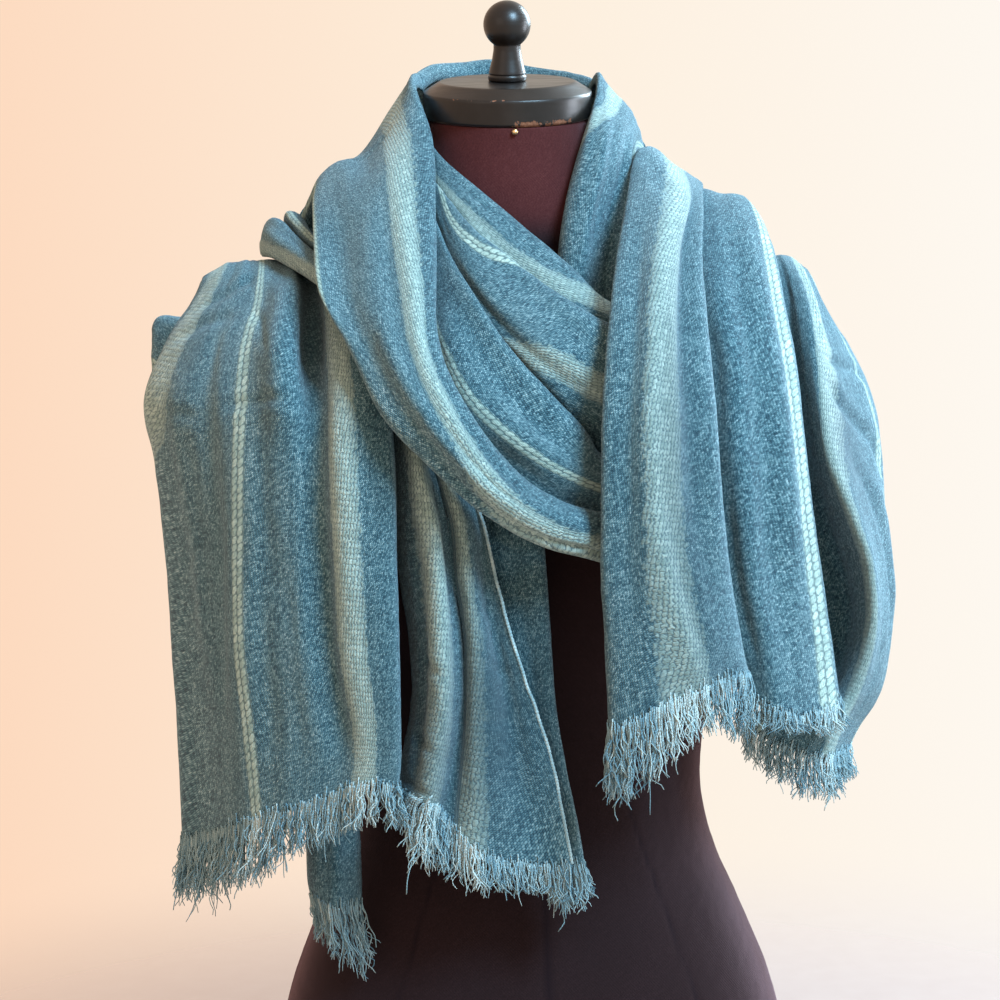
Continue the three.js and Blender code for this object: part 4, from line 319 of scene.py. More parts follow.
            [[-141.3, -32, 635.9], [-146.6, -42, 634.8], [-147.2, -49, 638], [-146.4, -52, 644.9], [-145.4, -46, 649.9], [-143.8, -35, 654.5], [-140, -30, 651.9]],
            [[-132.5, -56, 628.7], [-137.7, -63, 628.9], [-138.3, -70, 632.7], [-137.5, -71, 639.5], [-136.7, -66, 642], [-135.1, -57, 645.8], [-131.9, -52, 643.2]],
            [[-123.5, -82, 621.7], [-128, -89, 621.3], [-127.5, -95, 624.4], [-126.7, -96, 630.5], [-125.8, -92, 633.6], [-124.2, -84, 636.6], [-121, -76, 633.4]],
            [[-115.2, -103, 614.3], [-119.2, -109, 612.7], [-118.6, -113, 615.8], [-117.8, -114, 620.6], [-117, -111, 623.6], [-115.4, -104, 626.5], [-112.8, -97, 623.4]],
        ],
    },
    # a second folded edge above it
    "left_shoulder_roll_upper": {
        "folds": ["left_under", "left", "stripe_left", "stripe_right", "right", "right_edge", "right_under"],
        "u": [424, 434, 446, 454, 463, 474, 484],
        "v0": 1300,
        "rows": [
            [[-143.1, 42, 658.2], [-147, 44, 662.4], [-146.1, 44, 667.1], [-144.7, 42, 669.7], [-141.5, 40, 668.2], [-139.6, 38, 664.8], [-138.5, 34, 660.7]],
            [[-142.7, 23, 659.2], [-147.2, 24, 664], [-146.4, 20, 669.5], [-143.7, 16, 671], [-139.2, 16, 669.2], [-136, 16, 664.9], [-135.4, 20, 660.3]],
            [[-141.1, 7, 657], [-145.6, 4, 661.6], [-144.9, -5, 665.3], [-140.5, -11, 665.1], [-136, -9, 662.4], [-132.8, -5, 657.9], [-131.5, 1, 653.4]],
            [[-137.1, -12, 651.4], [-140.9, -16, 656], [-139, -25, 658.3], [-134.7, -30, 657.5], [-131.5, -30, 654.9], [-129.1, -26, 649.7], [-128.3, -18, 645.9]],
            [[-128.3, -38, 644.5], [-132.1, -41, 647.1], [-130.3, -48, 649.5], [-126.7, -53, 648.1], [-124.2, -53, 646.1], [-122.3, -50, 643], [-121.6, -45, 641.1]],
            [[-124.2, -50, 643.6], [-127.4, -53, 645.6], [-125.6, -60, 648], [-122.7, -64, 645.4], [-120.8, -64, 645.3], [-119.5, -61, 643.4], [-118.7, -56, 642.2]],
        ],
    },
    # the collar behind the neck
    "neck_collar_back": {
        "folds": ["outer_turn", "outer_edge", "band_1", "band_2", "light_stripe", "band_3", "inner_edge", "inner_turn"],
        "u": [462, 450, 425, 398, 370, 356, 346, 332],
        "out": -1,
        "v0": 1400,
        "rows": [
            [[-131, 58, 651], [-138, 53, 663], [-114, 49, 692], [-92, 43, 712], [-74, 37, 738], [-62, 33, 754], [-56, 29, 760], [-53, 27, 749]],
            [[-115, 92, 648], [-122, 92, 658], [-99, 84, 690], [-80, 75, 716], [-63, 63, 744], [-52, 54, 761], [-46, 48, 767], [-43, 45, 756]],
            [[-62, 128, 645], [-63, 132, 656], [-52, 119, 688], [-42, 105, 717], [-33, 90, 746], [-26, 79, 764], [-22, 73, 771], [-20, 68, 760]],
            [[0, 139, 644], [0, 143, 655], [0, 130, 687], [0, 116, 717], [0, 101, 747], [0, 88, 766], [0, 81, 773], [0, 76, 762]],
            [[62, 128, 646], [64, 131, 657], [53, 119, 687], [44, 106, 714], [36, 92, 742], [30, 82, 759], [26, 76, 767], [24, 71, 756]],
            [[98, 96, 675], [102, 94, 685], [90, 82, 702], [78, 74, 720], [66, 64, 740], [58, 57, 753], [52, 51, 760], [49, 48, 750]],
            [[97, 56, 698], [100, 52, 706], [96, 48, 716], [88, 44, 727], [78, 39, 739], [69, 35, 748], [63, 32, 754], [59, 30, 744]],
        ],
    },
    # the layer over the upper back, from shoulder to shoulder
    "upper_back_drape": {
        "folds": ["top", "yoke", "ridge", "upper", "middle", "lower_1", "lower_2", "edge", "edge_turn"],
        "u": [20, 60, 92, 120, 160, 210, 262, 305, 315],
        "v0": 1500,
        "rows": [
            [[-174, 32, 596], [-186, 32, 589], [-195, 32, 580], [-204, 33, 564], [-211, 34, 535], [-209, 34, 475], [-206, 33, 410], [-204, 31, 356], [-200, 33, 350]],
            [[-182, 50, 590], [-208, 57, 597], [-235, 65, 603], [-240, 66, 582], [-239, 66, 540], [-234, 64, 470], [-230, 62, 405], [-226, 60, 350], [-221, 60, 344]],
            [[-160, 62, 598], [-183, 82, 599], [-199, 94, 593], [-207, 101, 573], [-212, 105, 536], [-212, 107, 474], [-208, 104, 412], [-204, 100, 360], [-199, 96, 355]],
            [[-118, 70, 624], [-138, 99, 620], [-149, 115, 603], [-155, 125, 580], [-159, 133, 545], [-160, 139, 494], [-158, 140, 444], [-155, 138, 402], [-151, 132, 397]],
            [[-72, 84, 668], [-80, 113, 644], [-83, 130, 612], [-85, 141, 585], [-86, 149, 553], [-86, 155, 515], [-84, 157, 478], [-82, 155, 446], [-80, 148, 441]],
            [[0, 92, 676], [0, 120, 647], [0, 138, 612], [0, 149, 588], [0, 156, 560], [0, 162, 528], [0, 164, 496], [0, 161, 466], [0, 154, 461]],
            [[72, 80, 658], [82, 110, 632], [85, 131, 610], [88, 143, 584], [90, 151, 552], [91, 157, 512], [90, 159, 474], [88, 157, 441], [86, 150, 436]],
            [[127, 52, 640], [144, 90, 628], [155, 115, 611], [160, 127, 582], [164, 135, 544], [167, 140, 490], [166, 140, 436], [163, 137, 390], [159, 130, 385]],
            [[158, 46, 616], [182, 76, 609], [200, 94, 601], [210, 102, 575], [217, 106, 534], [219, 107, 470], [216, 104, 402], [211, 98, 345], [206, 92, 340]],
            [[168, 38, 610], [187, 54, 606], [201, 66, 598], [214, 71, 575], [226, 73, 535], [233, 73, 475], [233, 68, 410], [229, 60, 350], [224, 57, 344]],
        ],
    },
}

# ---------------------------------------------------------------- fringes
FRINGES = {
    "fringe_left_front": {"hem_of": "left_front_end", "reach": [[-226.7, 26, 213.2], [-236.1, -8, 221.2], [-222.4, -40, 226.1], [-205.1, -76, 239.9], [-186.1, -111, 253], [-158.3, -137, 275.6], [-135.1, -149, 286.1], [-117.7, -161, 296.3], [-94.4, -164, 297], [-101.5, -148, 291.5]]},
    "fringe_left_tail": {"hem_of": "left_rear_tail", "reach": [[-143.8, -67, 201.3], [-134.9, -88, 199.2], [-125.9, -95, 190.4], [-118.4, -91, 182.1], [-108.1, -84, 193.1]]},
    "fringe_left_inner": {"hem_of": "left_inner_end", "reach": [[-93.7, -132, 292.7], [-91.3, -143, 293.4], [-83.8, -164, 269.2], [-68.9, -150, 262.1], [-49.9, -160, 253.1], [-28.7, -155, 247.4], [-9.7, -150, 243.6], [8.9, -153, 233.2]]},
    "fringe_left_inner_rear": {"hem_of": "left_inner_rear", "reach": [[-1.2, -131, 234.5], [3.4, -138, 231.7], [11.1, -146, 230.4], [22.9, -148, 242.3], [18.6, -134, 237.4]]},
    "fringe_right_front": {"hem_of": "right_front_end", "reach": [[38, -180, 313.3], [28.2, -192, 314.2], [45.4, -201, 317.3], [77.8, -201, 348.7], [93.6, -192, 350.3], [112.1, -176, 346], [111.2, -157, 340.2]]},
    "fringe_right_panel": {"hem_of": "right_side_panel", "reach": [[123.4, -136, 345.3], [129.8, -141, 342.8], [139.7, -147, 338.6], [157.2, -140, 336.2], [178.8, -125, 330.1], [191.6, -113, 332.1], [189.1, -95, 327.8]]},
    "fringe_right_drape": {"hem_of": "right_side_drape", "reach": [[129.3, -98, 317.8], [148.2, -94, 298.9], [164.8, -90, 287.9], [176.8, -89, 281.7], [186.8, -86, 278.5], [199.6, -68, 284.9], [212.8, -44, 284.1], [212.6, -18, 276.8], [201.9, 6, 269]]},
}

# ---------------------------------------------------------------- the torso's sections
# z, half_width, front depth, back depth, centre_y, squareness
NECK_TOP = 729.0
SECTIONS = np.array([
    [12.3, 170, 110, 120, 0, 2.25],
    [50, 174, 113, 123, 0, 2.25],
    [90, 174, 114, 123, 0, 2.25],
    [143, 165, 109, 118, 0, 2.25],
    [200, 143, 101, 107, 0, 2.2],
    [240, 127, 96, 100, 0, 2.2],
    [281, 119, 93, 92, 0, 2.2],
    [330, 123, 97, 93, 0, 2.2],
    [380, 131, 104, 97, 0, 2.2],
    [430, 138, 111, 101, 0, 2.2],
    [470, 143, 113, 104, 0, 2.2],
    [510, 149, 109, 107, 0, 2.25],
    [545, 159, 99, 106, 1, 2.3],
    [575, 171, 86, 102, 2, 2.35],
    [597, 176, 74, 95, 3, 2.35],
    [612, 169, 66, 87, 4, 2.3],
    [628, 147, 60, 79, 5, 2.2],
    [645, 114, 57, 71, 6, 2.1],
    [659, 86, 56, 65, 6, 2],
    [672, 69, 56, 60, 5, 2],
    [688, 60, 55, 56, 3, 2],
    [705, 56, 54, 54, 1, 2],
    [729, 53, 53, 53, -3, 2],
])


# ---------------------------------------------------------------- curves through tables
def knots(p, axis):
    d = np.linalg.norm(np.diff(p, axis=axis), axis=2)
    return np.concatenate([[0], np.cumsum(d.mean(axis=1 - axis))])


def tangents(p, t):
    m = np.zeros_like(p)
    if len(t) == 2:
        m[0] = m[1] = (p[1] - p[0]) / (t[1] - t[0])
        return m
    gap = np.diff(t).reshape((-1,) + (1,) * (p.ndim - 1))
    s = np.diff(p, axis=0) / gap
    m[1:-1] = (s[:-1] * gap[1:] + s[1:] * gap[:-1]) / (gap[1:] + gap[:-1])
    m[0] = 2 * s[0] - m[1]
    m[-1] = 2 * s[-1] - m[-2]
    return m


def along(p, t, x):
    m = tangents(p, t)
    i = np.clip(np.searchsorted(t, x, side="right") - 1, 0, len(t) - 2)
    h = t[i + 1] - t[i]
    s = (x - t[i]) / h
    shape = (len(x),) + (1,) * (p.ndim - 1)
    s, h = s.reshape(shape), h.reshape(shape)
    return (
        (2 * s**3 - 3 * s**2 + 1) * p[i]
        + (s**3 - 2 * s**2 + s) * h * m[i]
        + (-2 * s**3 + 3 * s**2) * p[i + 1]
        + (s**3 - s**2) * h * m[i + 1]
    )


def patch(p, tv, tu, sv, su):
    across = np.swapaxes(along(np.swapaxes(p, 0, 1), tu, su), 0, 1)
    return along(across, tv, sv)


# ---------------------------------------------------------------- repeatable noise
def noise(x, y, seed):
    """Smooth noise from -1 to 1."""
    table = np.random.default_rng(seed).random((128, 128)) * 2 - 1
    xi, yi = np.floor(x).astype(int), np.floor(y).astype(int)
    fx, fy = x - xi, y - yi
    fx, fy = fx * fx * (3 - 2 * fx), fy * fy * (3 - 2 * fy)
    a, b = xi % 128, (xi + 1) % 128
    c, d = yi % 128, (yi + 1) % 128
    return (
        table[a, c] * (1 - fx) * (1 - fy) + table[b, c] * fx * (1 - fy)
        + table[a, d] * (1 - fx) * fy + table[b, d] * fx * fy
    )


def smooth(x, low, high):
    t = np.clip((x - low) / (high - low), 0, 1)
    return t * t * (3 - 2 * t)


# ---------------------------------------------------------------- creases placed one by one
# For each stretch, a list of creases. Each is a path of (fold, section) places in its
# table, then its depth (mm, + stands proud, - is a trough) and its half width (mm).
CREASES = {
    "left_front_end": [
        ([(6.0, 1.7), (6.0, 2.6), (5.9, 3.4), (5.8, 4.2), (5.7, 5.0)], -7.5, 8),
        ([(4.9, 2.6), (5.0, 3.5), (5.05, 4.5), (5.2, 5.8)], 4.5, 13),
        ([(7.0, 4.5), (7.0, 5.3), (7.05, 6.4), (7.1, 7.8)], 2.6, 9),
        ([(3.35, 2.9), (3.25, 4.8), (3.45, 6.8), (3.3, 9.2)], -2.4, 7),
        ([(2.6, 4.1), (2.5, 6.0), (2.75, 8.4)], 1.7, 7),
        ([(4.4, 5.1), (4.55, 7.0), (4.4, 9.6)], -1.9, 6),
        ([(5.75, 5.6), (6.0, 7.3), (6.1, 9.7)], -2.6, 7),
        ([(8.0, 4.4), (8.15, 6.4), (8.0, 9.2)], -1.7, 6),
        ([(3.6, 5.15), (4.6, 4.95), (5.5, 5.08)], -1.3, 4),
        ([(1.9, 3.2), (3.0, 2.9), (3.9, 2.55)], -2, 5),
        ([(1.6, 3.9), (2.6, 3.55), (3.6, 3.35)], -1.6, 5),
        ([(1.5, 7.35), (2.6, 7.0), (3.6, 6.7)], -0.9, 3.2),
        ([(1.4, 7.85), (2.5, 7.5), (3.5, 7.2)], -0.9, 3.2),
        ([(1.6, 8.35), (2.7, 8.05), (3.7, 7.8)], -0.8, 3.2),
        ([(1.7, 5.5), (2.4, 5.2), (3.2, 5.3)], -1, 4),
        ([(5.1, 6.6), (5.4, 8.2), (5.3, 9.8)], 1.4, 7),
        ([(3.9, 3.2), (4.3, 3.5), (4.6, 4.1)], -1.2, 4),
    ],
    "left_rear_tail": [
        ([(1.5, 0.5), (1.6, 2.5), (1.4, 4.5)], -2, 5),
        ([(2.8, 0.3), (2.7, 2.0), (3.0, 4.0)], -1.6, 4),
        ([(3.2, 2.0), (3.3, 4.8)], 1.5, 4),
    ],
    "left_inner_end": [
        ([(1.3, 1.0), (1.4, 3.0), (1.2, 5.0), (1.5, 7.5)], -1.8, 4),
        ([(2.5, 0.8), (2.6, 3.0), (2.5, 5.5)], -1.6, 4),
        ([(5.2, 2.5), (5.5, 4.5), (5.3, 7.0)], -2, 6),
        ([(6.2, 3.5), (6.4, 5.5), (6.2, 7.6)], 1.6, 5),
        ([(4.5, 3.6), (5.8, 3.5)], -1, 3),
        ([(4.4, 4.4), (6.0, 4.5)], -0.9, 3),
        ([(4.3, 5.3), (5.6, 5.2)], -0.8, 3),
        ([(0.8, 4.2), (2.2, 4.6)], -1.2, 3.5),
        ([(0.7, 5.4), (2.0, 5.9)], -1.2, 3.5),
        ([(0.8, 6.6), (2.2, 6.9)], -1, 3.5),
    ],
    "left_inner_rear": [
        ([(1.5, 1.0), (1.8, 4.0), (1.6, 6.5)], -1.5, 5),
        ([(2.6, 0.5), (2.5, 3.0), (2.8, 5.5)], 1.2, 5),
    ],
    "neck_loop_front": [
        ([(1.7, 2.2), (1.8, 4.0), (1.9, 6.0), (2.0, 8.5)], -2, 7),
        ([(3.45, 1.8), (3.4, 3.5), (3.4, 5.5), (3.5, 7.5), (3.5, 9.5)], -1.9, 5),
        ([(2.7, 2.5), (2.6, 4.2), (2.8, 6.0)], 1.8, 8),
        ([(4.6, 2.0), (4.7, 4.0), (4.7, 6.5), (4.6, 9.0)], -1.6, 4),
        ([(1.3, 6.0), (1.6, 7.5), (1.9, 9.2), (2.2, 10.5)], -1.5, 4),
        ([(5.3, 3.5), (5.4, 6.0), (5.3, 8.5)], 1, 4),
        ([(1.5, 5.1), (2.6, 4.8)], -1, 3.5),
        ([(1.4, 6.3), (2.8, 6.0)], -0.9, 3.5),
        ([(2.0, 1.0), (3.0, 1.1), (4.0, 1.2)], -1.4, 5),
    ],
    "neck_cross_upper": [
        ([(1.6, 1.0), (1.8, 3.0), (1.7, 5.0)], -1, 3),
        ([(2.5, 1.5), (2.7, 3.5), (2.5, 6.0)], -1.1, 3),
        ([(3.2, 2.0), (3.3, 5.0)], 0.9, 3),
    ],
    "neck_cross_middle": [
        ([(1.6, 1.5), (1.5, 3.0), (1.7, 5.0)], -1.7, 5),
        ([(2.4, 1.4), (2.6, 3.2), (2.4, 5.3)], 1.4, 5),
        ([(3.1, 2.0), (3.0, 4.0), (3.2, 5.6)], -1.4, 4),
    ],
    "neck_cross_lower": [
        ([(1.7, 1.6), (1.7, 3.2), (1.9, 5.0)], -1.7, 5),
        ([(2.6, 1.2), (2.5, 3.0), (2.6, 5.0)], 1.3, 5),
        ([(3.5, 1.5), (3.5, 3.4), (3.6, 5.4)], -1.6, 5),
        ([(4.3, 2.0), (4.2, 4.0), (4.4, 6.0)], 1.3, 5),
    ],
    "neck_collar_right": [
        ([(2.4, 1.0), (2.5, 3.0), (2.4, 5.5)], -1.5, 4),
        ([(3.6, 1.0), (3.6, 3.0), (3.5, 6.0)], -1.2, 3.5),
        ([(4.7, 1.5), (4.6, 4.0), (4.7, 6.0)], -1, 3),
        ([(5.4, 2.0), (5.5, 4.5)], 0.8, 3),
    ],
    "right_front_end": [
        ([(2.55, 3.2), (2.6, 5.0), (2.6, 7.0), (2.7, 9.0), (2.6, 10.5)], 2.6, 7),
        ([(3.95, 3.6), (3.9, 5.5), (4.0, 7.5), (4.0, 9.5)], -4, 7),
        ([(1.95, 4.0), (2.0, 6.0), (1.9, 8.5), (2.0, 10.3)], -2.2, 6),
        ([(4.6, 3.4), (4.6, 6.0), (4.7, 9.0)], 1.6, 5),
        ([(3.2, 7.8), (3.4, 9.0), (3.5, 10.6)], -1.6, 5),
        ([(2.9, 8.5), (3.1, 10.8)], 1.6, 5),
        ([(1.5, 3.3), (2.2, 3.7), (2.6, 4.3)], -1.3, 4),
    ],
    "right_side_panel": [
        ([(1.6, 3.2), (1.6, 5.0), (1.65, 7.0), (1.7, 9.5)], 2, 7),
        ([(2.5, 3.0), (2.5, 5.0), (2.55, 7.0), (2.6, 9.0), (2.6, 10.6)], -3, 8),
        ([(3.4, 4.0), (3.45, 6.5), (3.4, 9.0)], 1.4, 5),
        ([(1.2, 8.0), (1.3, 10.5)], -1.4, 4),
        ([(2.0, 3.5), (2.8, 3.2)], -1, 4),
    ],
    "right_side_drape": [
        ([(4.3, 3.4), (4.9, 4.0), (5.6, 4.7), (6.0, 5.6)], -2.6, 5),
        ([(4.4, 3.2), (5.0, 3.2), (6.0, 3.6)], -2, 4),
        ([(4.7, 4.7), (5.2, 5.6), (5.5, 7.0), (5.5, 8.6)], -1.8, 6),
        ([(5.2, 5.0), (5.7, 6.2), (5.9, 8.0)], 1.6, 6),
        ([(4.5, 1.0), (4.5, 2.2), (4.6, 3.2)], 1.4, 5),
        ([(2.4, 5.2), (2.2, 6.5), (2.5, 8.0)], -1.6, 5),
        ([(1.8, 6.0), (1.5, 7.2), (1.8, 8.4)], 1.4, 5),
        ([(7.0, 3.0), (6.9, 6.0), (7.1, 9.0)], -2.5, 8),
        ([(7.6, 4.0), (7.5, 7.0)], 2, 8),
    ],
    "left_shoulder_roll": [
        ([(4.3, 1.3), (4.4, 2.5), (4.4, 4.0)], -1, 3),
        ([(3.4, 1.0), (3.5, 3.0)], 0.8, 3),
    ],
    "left_shoulder_roll_upper": [
        ([(1.6, 1.0), (1.7, 3.0)], -0.8, 2.5),
        ([(3.6, 1.0), (3.7, 3.0)], -0.8, 2.5),
    ],
    "neck_collar_back": [
        ([(2.3, 0.8), (2.4, 3.0), (2.2, 5.2)], -2.2, 8),
        ([(3.5, 0.6), (3.6, 3.0), (3.4, 5.5)], 1.8, 6),
        ([(4.6, 1.0), (4.7, 3.2), (4.5, 5.0)], -1.8, 6),
        ([(1.5, 1.2), (1.6, 3.0), (1.4, 4.6)], 1.5, 5),
    ],
    "upper_back_drape": [
        ([(2.0, 1.6), (2.6, 4.5), (2.0, 7.5)], -3.5, 10),
        ([(3.5, 1.4), (4.3, 4.6), (3.6, 7.6)], -3.2, 11),
        ([(5.0, 1.6), (5.8, 4.4), (5.1, 7.5)], -3, 12),
        ([(6.3, 2.2), (6.9, 4.6), (6.4, 7.0)], -2.2, 10),
        ([(2.8, 2.0), (3.4, 4.5), (2.9, 7.0)], 2.5, 9),
        ([(4.4, 2.0), (5.0, 4.7), (4.5, 7.2)], 2.2, 10),
        ([(1.2, 1.1), (2.2, 1.3), (3.6, 1.2), (5.5, 1.1)], -2.6, 8),
        ([(1.3, 8.0), (2.5, 7.8), (4.0, 7.9), (5.6, 8.0)], -2.6, 8),
        ([(3.0, 0.5), (5.0, 0.6), (7.0, 0.5)], -2, 7),
        ([(3.0, 8.6), (5.0, 8.5), (7.0, 8.6)], -2, 7),
    ],
}

# small wrinkles that the weave takes by itself: height (mm), length along the cloth and
# width across it (mm)
RUMPLE = {
    "left_front_end": (0.7, 110, 20),
    "neck_loop_front": (0.6, 70, 14),
    "right_front_end": (0.7, 110, 16),
    "right_side_panel": (0.7, 100, 16),
    "right_side_drape": (0.8, 80, 22),
    "upper_back_drape": (0.9, 90, 26),
    "neck_collar_back": (0.7, 70, 18),
    "left_inner_end": (0.6, 60, 12),
}


def crease_height(name, su, sv, tu, tv):
    """Height of the listed creases over a stretch's plane of (across, along) mm."""
    x, y = np.meshgrid(su, sv)
    height = np.zeros_like(x)
    for path, depth, width in CREASES.get(name, []):
        pts = [
            (np.interp(a, range(len(tu)), tu), np.interp(b, range(len(tv)), tv))
            for a, b in path
        ]
        total = sum(math.dist(p, q) for p, q in zip(pts, pts[1:]))
        best = np.full_like(x, 1e9)
        where = np.zeros_like(x)
        run = 0.0
        for (ax, ay), (bx, by) in zip(pts, pts[1:]):
            dx, dy = bx - ax, by - ay
            seg = max(math.hypot(dx, dy), 1e-6)
            t = np.clip(((x - ax) * dx + (y - ay) * dy) / seg**2, 0, 1)
            d = np.hypot(x - ax - t * dx, y - ay - t * dy)
            near = d < best
            best = np.where(near, d, best)
            where = np.where(near, (run + t * seg) / total, where)
            run += seg
        ends = smooth(where, 0, 0.22) * smooth(1 - where, 0, 0.22)
        ends = 0.15 + 0.85 * ends
        far = np.exp(-((best / width) ** 2))
        edge = np.exp(-(((best - 1.9 * width) / (0.9 * width)) ** 2))
        fade = np.where((where <= 0) | (where >= 1), np.exp(-((best / (0.7 * width)) ** 2)), 1)
        height += depth * ends * fade * (far - 0.28 * edge)
    return height


# ---------------------------------------------------------------- meshes
def new_mesh(name, points, faces, material, cloth=None, tone=None):
    me = bpy.data.meshes.new(name)
    me.from_pydata((points * MM).tolist(), [], faces.tolist() if hasattr(faces, "tolist") else faces)
    me.polygons.foreach_set("use_smooth", np.ones(len(me.polygons), bool))
    if cloth is not None:
        at = me.attributes.new("cloth", "FLOAT_VECTOR", "POINT")
        at.data.foreach_set("vector", cloth.astype(np.float32).ravel())
    me.materials.append(material)
    me.update()
    ob = bpy.data.objects.new(name, me)
    bpy.context.scene.collection.objects.link(ob)
    return ob


def normals(q):
    du = np.gradient(q, axis=1)
    dv = np.gradient(q, axis=0)
    n = np.cross(dv, du)
    return n / (np.linalg.norm(n, axis=2, keepdims=True) + 1e-9)


SHEETS = {}
SHEETS_FULL = {}
HALF = 0.85          # half the cloth's thickness
SPACING = 2.6


def stretch_surface(name):
    t = STRETCHES[name]
    p = np.array(t["rows"], float)
    tv, tu = knots(p, 0), knots(p, 1)
    nv = max(int(tv[-1] / SPACING), 4)
    nu = max(int(tu[-1] / SPACING), 8)
    sv, su = np.linspace(0, tv[-1], nv + 1), np.linspace(0, tu[-1], nu + 1)
    q = patch(p, tv, tu, sv, su)
    u = np.array([t.get("urow", {}).get(i, t["u"]) for i in range(len(p))], float)
    u = u + np.array(t.get("slip", [0] * len(p)), float)[:, None]
    u = patch(u[..., None], tv, tu, sv, su)[..., 0]
    if "jump" in t:
        # cloth that lies hidden inside the fold after this column
        fold, hidden = t["jump"]
        u = u + hidden * (su > tu[fold] + 0.35 * (tu[fold + 1] - tu[fold]))[None, :]
    v = np.repeat(sv[:, None] + t.get("v0", 0), nu + 1, axis=1)
    n = normals(q) * t.get("out", 1)
    h = crease_height(name, su, sv, tu, tv)
    amp, long, wide = RUMPLE.get(name, (0.5, 60, 14))
    seed = sum(map(ord, name))
    warp = 9 * noise(u / 70, v / 90, seed + 5)
    h = h + amp * (
        noise((u + warp) / wide, v / long, seed)
        + 0.5 * noise((u + warp) / (wide * 0.45) + 7, v / (long * 0.5), seed + 1)
        + 0.32 * noise(u / 7.0 + 3, v / 19, seed + 3)
        + 0.25 * noise(u / 5.5, v / 9, seed + 2)
    )
    rim = np.minimum(np.minimum(sv - sv[0], sv[-1] - sv)[:, None], 1e9)
    side = np.minimum(su - su[0], su[-1] - su)[None, :]
    lift = t.get("lift", 0)
    h = h * (0.35 + 0.65 * smooth(side, 0, 10)) + lift
    # an end that runs on into the next stretch lies flat there
    fringed = any(f["hem_of"] == name for f in FRINGES.values())
    h = h * smooth(sv, 0, 14)[:, None]
    if not fringed:
        h = h * smooth(sv[-1] - sv, 0, 14)[:, None]
    # the woven edges waver a little
    q = q + n * h[..., None]
    wave = 0.7 * noise(v[:, :1] / 11, v[:, :1] * 0 + 3, seed + 8)
    out = q[:, -1] - q[:, -2]
    out /= np.linalg.norm(out, axis=1, keepdims=True) + 1e-9
    q[:, -1] += out * wave
    q[:, 0] -= out * 0.6 * wave
    hem = 0.8 * noise(u[-1] / 9, u[-1] * 0 + 1, seed + 9)
    down = q[-1] - q[-2]
    down /= np.linalg.norm(down, axis=1, keepdims=True) + 1e-9
    q[-1] += down * (hem[:, None] if fringed else 0.25)
    return q, u, v, tu, tv, su, sv


# painted shade in soft patches, darkening the cloth where it lies in shade: stretch, along, across (0 to 1), reach
# along, reach across, depth
PAINTED_SHADE = [
    ("left_inner_end", 0.72, 0.76, 0.28, 0.28, 0.68),
    ("left_inner_end", 0.88, 0.26, 0.26, 0.26, 0.48),
    ("left_inner_rear", 0.70, 0.50, 0.50, 0.90, 0.20),
    ("left_front_end", 0.30, 0.76, 0.14, 0.06, 0.52),
    ("right_front_end", 0.72, 0.56, 0.36, 0.17, 0.52),
    ("right_front_end", 1.00, 0.25, 0.16, 0.30, 0.22),
    ("right_side_drape", 0.45, 0.40, 0.14, 0.09, 0.58),
]


# painted shade: how much each point of a stretch is darkened, up to 0.8
def painted_shade(name, nv, nu):
    along, across = np.meshgrid(np.linspace(0, 1, nv), np.linspace(0, 1, nu), indexing="ij")
    total = np.zeros((nv, nu))
    for stretch, s, t, rs, rt, depth in PAINTED_SHADE:
        if name == stretch + "_cloth":
            total += depth * np.exp(-(((along - s) / rs) ** 2 + ((across - t) / rt) ** 2))
    return np.clip(total, 0, 0.8)


def shell(name, q, u, v, material):
    n = normals(q)
    nv, nu = u.shape
    thick = np.full((nv, nu, 1), HALF)
    thick[0] = thick[-1] = HALF * 0.75
    thick[:, 0] = thick[:, -1] = HALF * 0.75
    front = (q + n * thick).reshape(-1, 3)
    back = (q - n * thick).reshape(-1, 3)
    idx = np.arange(nv * nu).reshape(nv, nu)
    a, b, c, d = idx[:-1, :-1], idx[1:, :-1], idx[1:, 1:], idx[:-1, 1:]
    f = np.stack([a, b, c, d], -1).reshape(-1, 4)
    o = nv * nu
    g = np.stack([a, d, c, b], -1).reshape(-1, 4) + o

    def rim(line, flip):
        x, y = line[:-1], line[1:]
        r = np.stack([x, y, y + o, x + o], -1)
        return r[:, ::-1] if flip else r

    faces = np.concatenate([f, g, rim(idx[:, 0], True), rim(idx[:, -1], False),
                            rim(idx[0], False), rim(idx[-1], True)])
    # the third component carries the painted shade
    uv = np.stack([u, v, painted_shade(name, nv, nu)], -1).reshape(-1, 3)
    return new_mesh(name, np.concatenate([front, back]), faces, material, np.concatenate([uv, uv]))


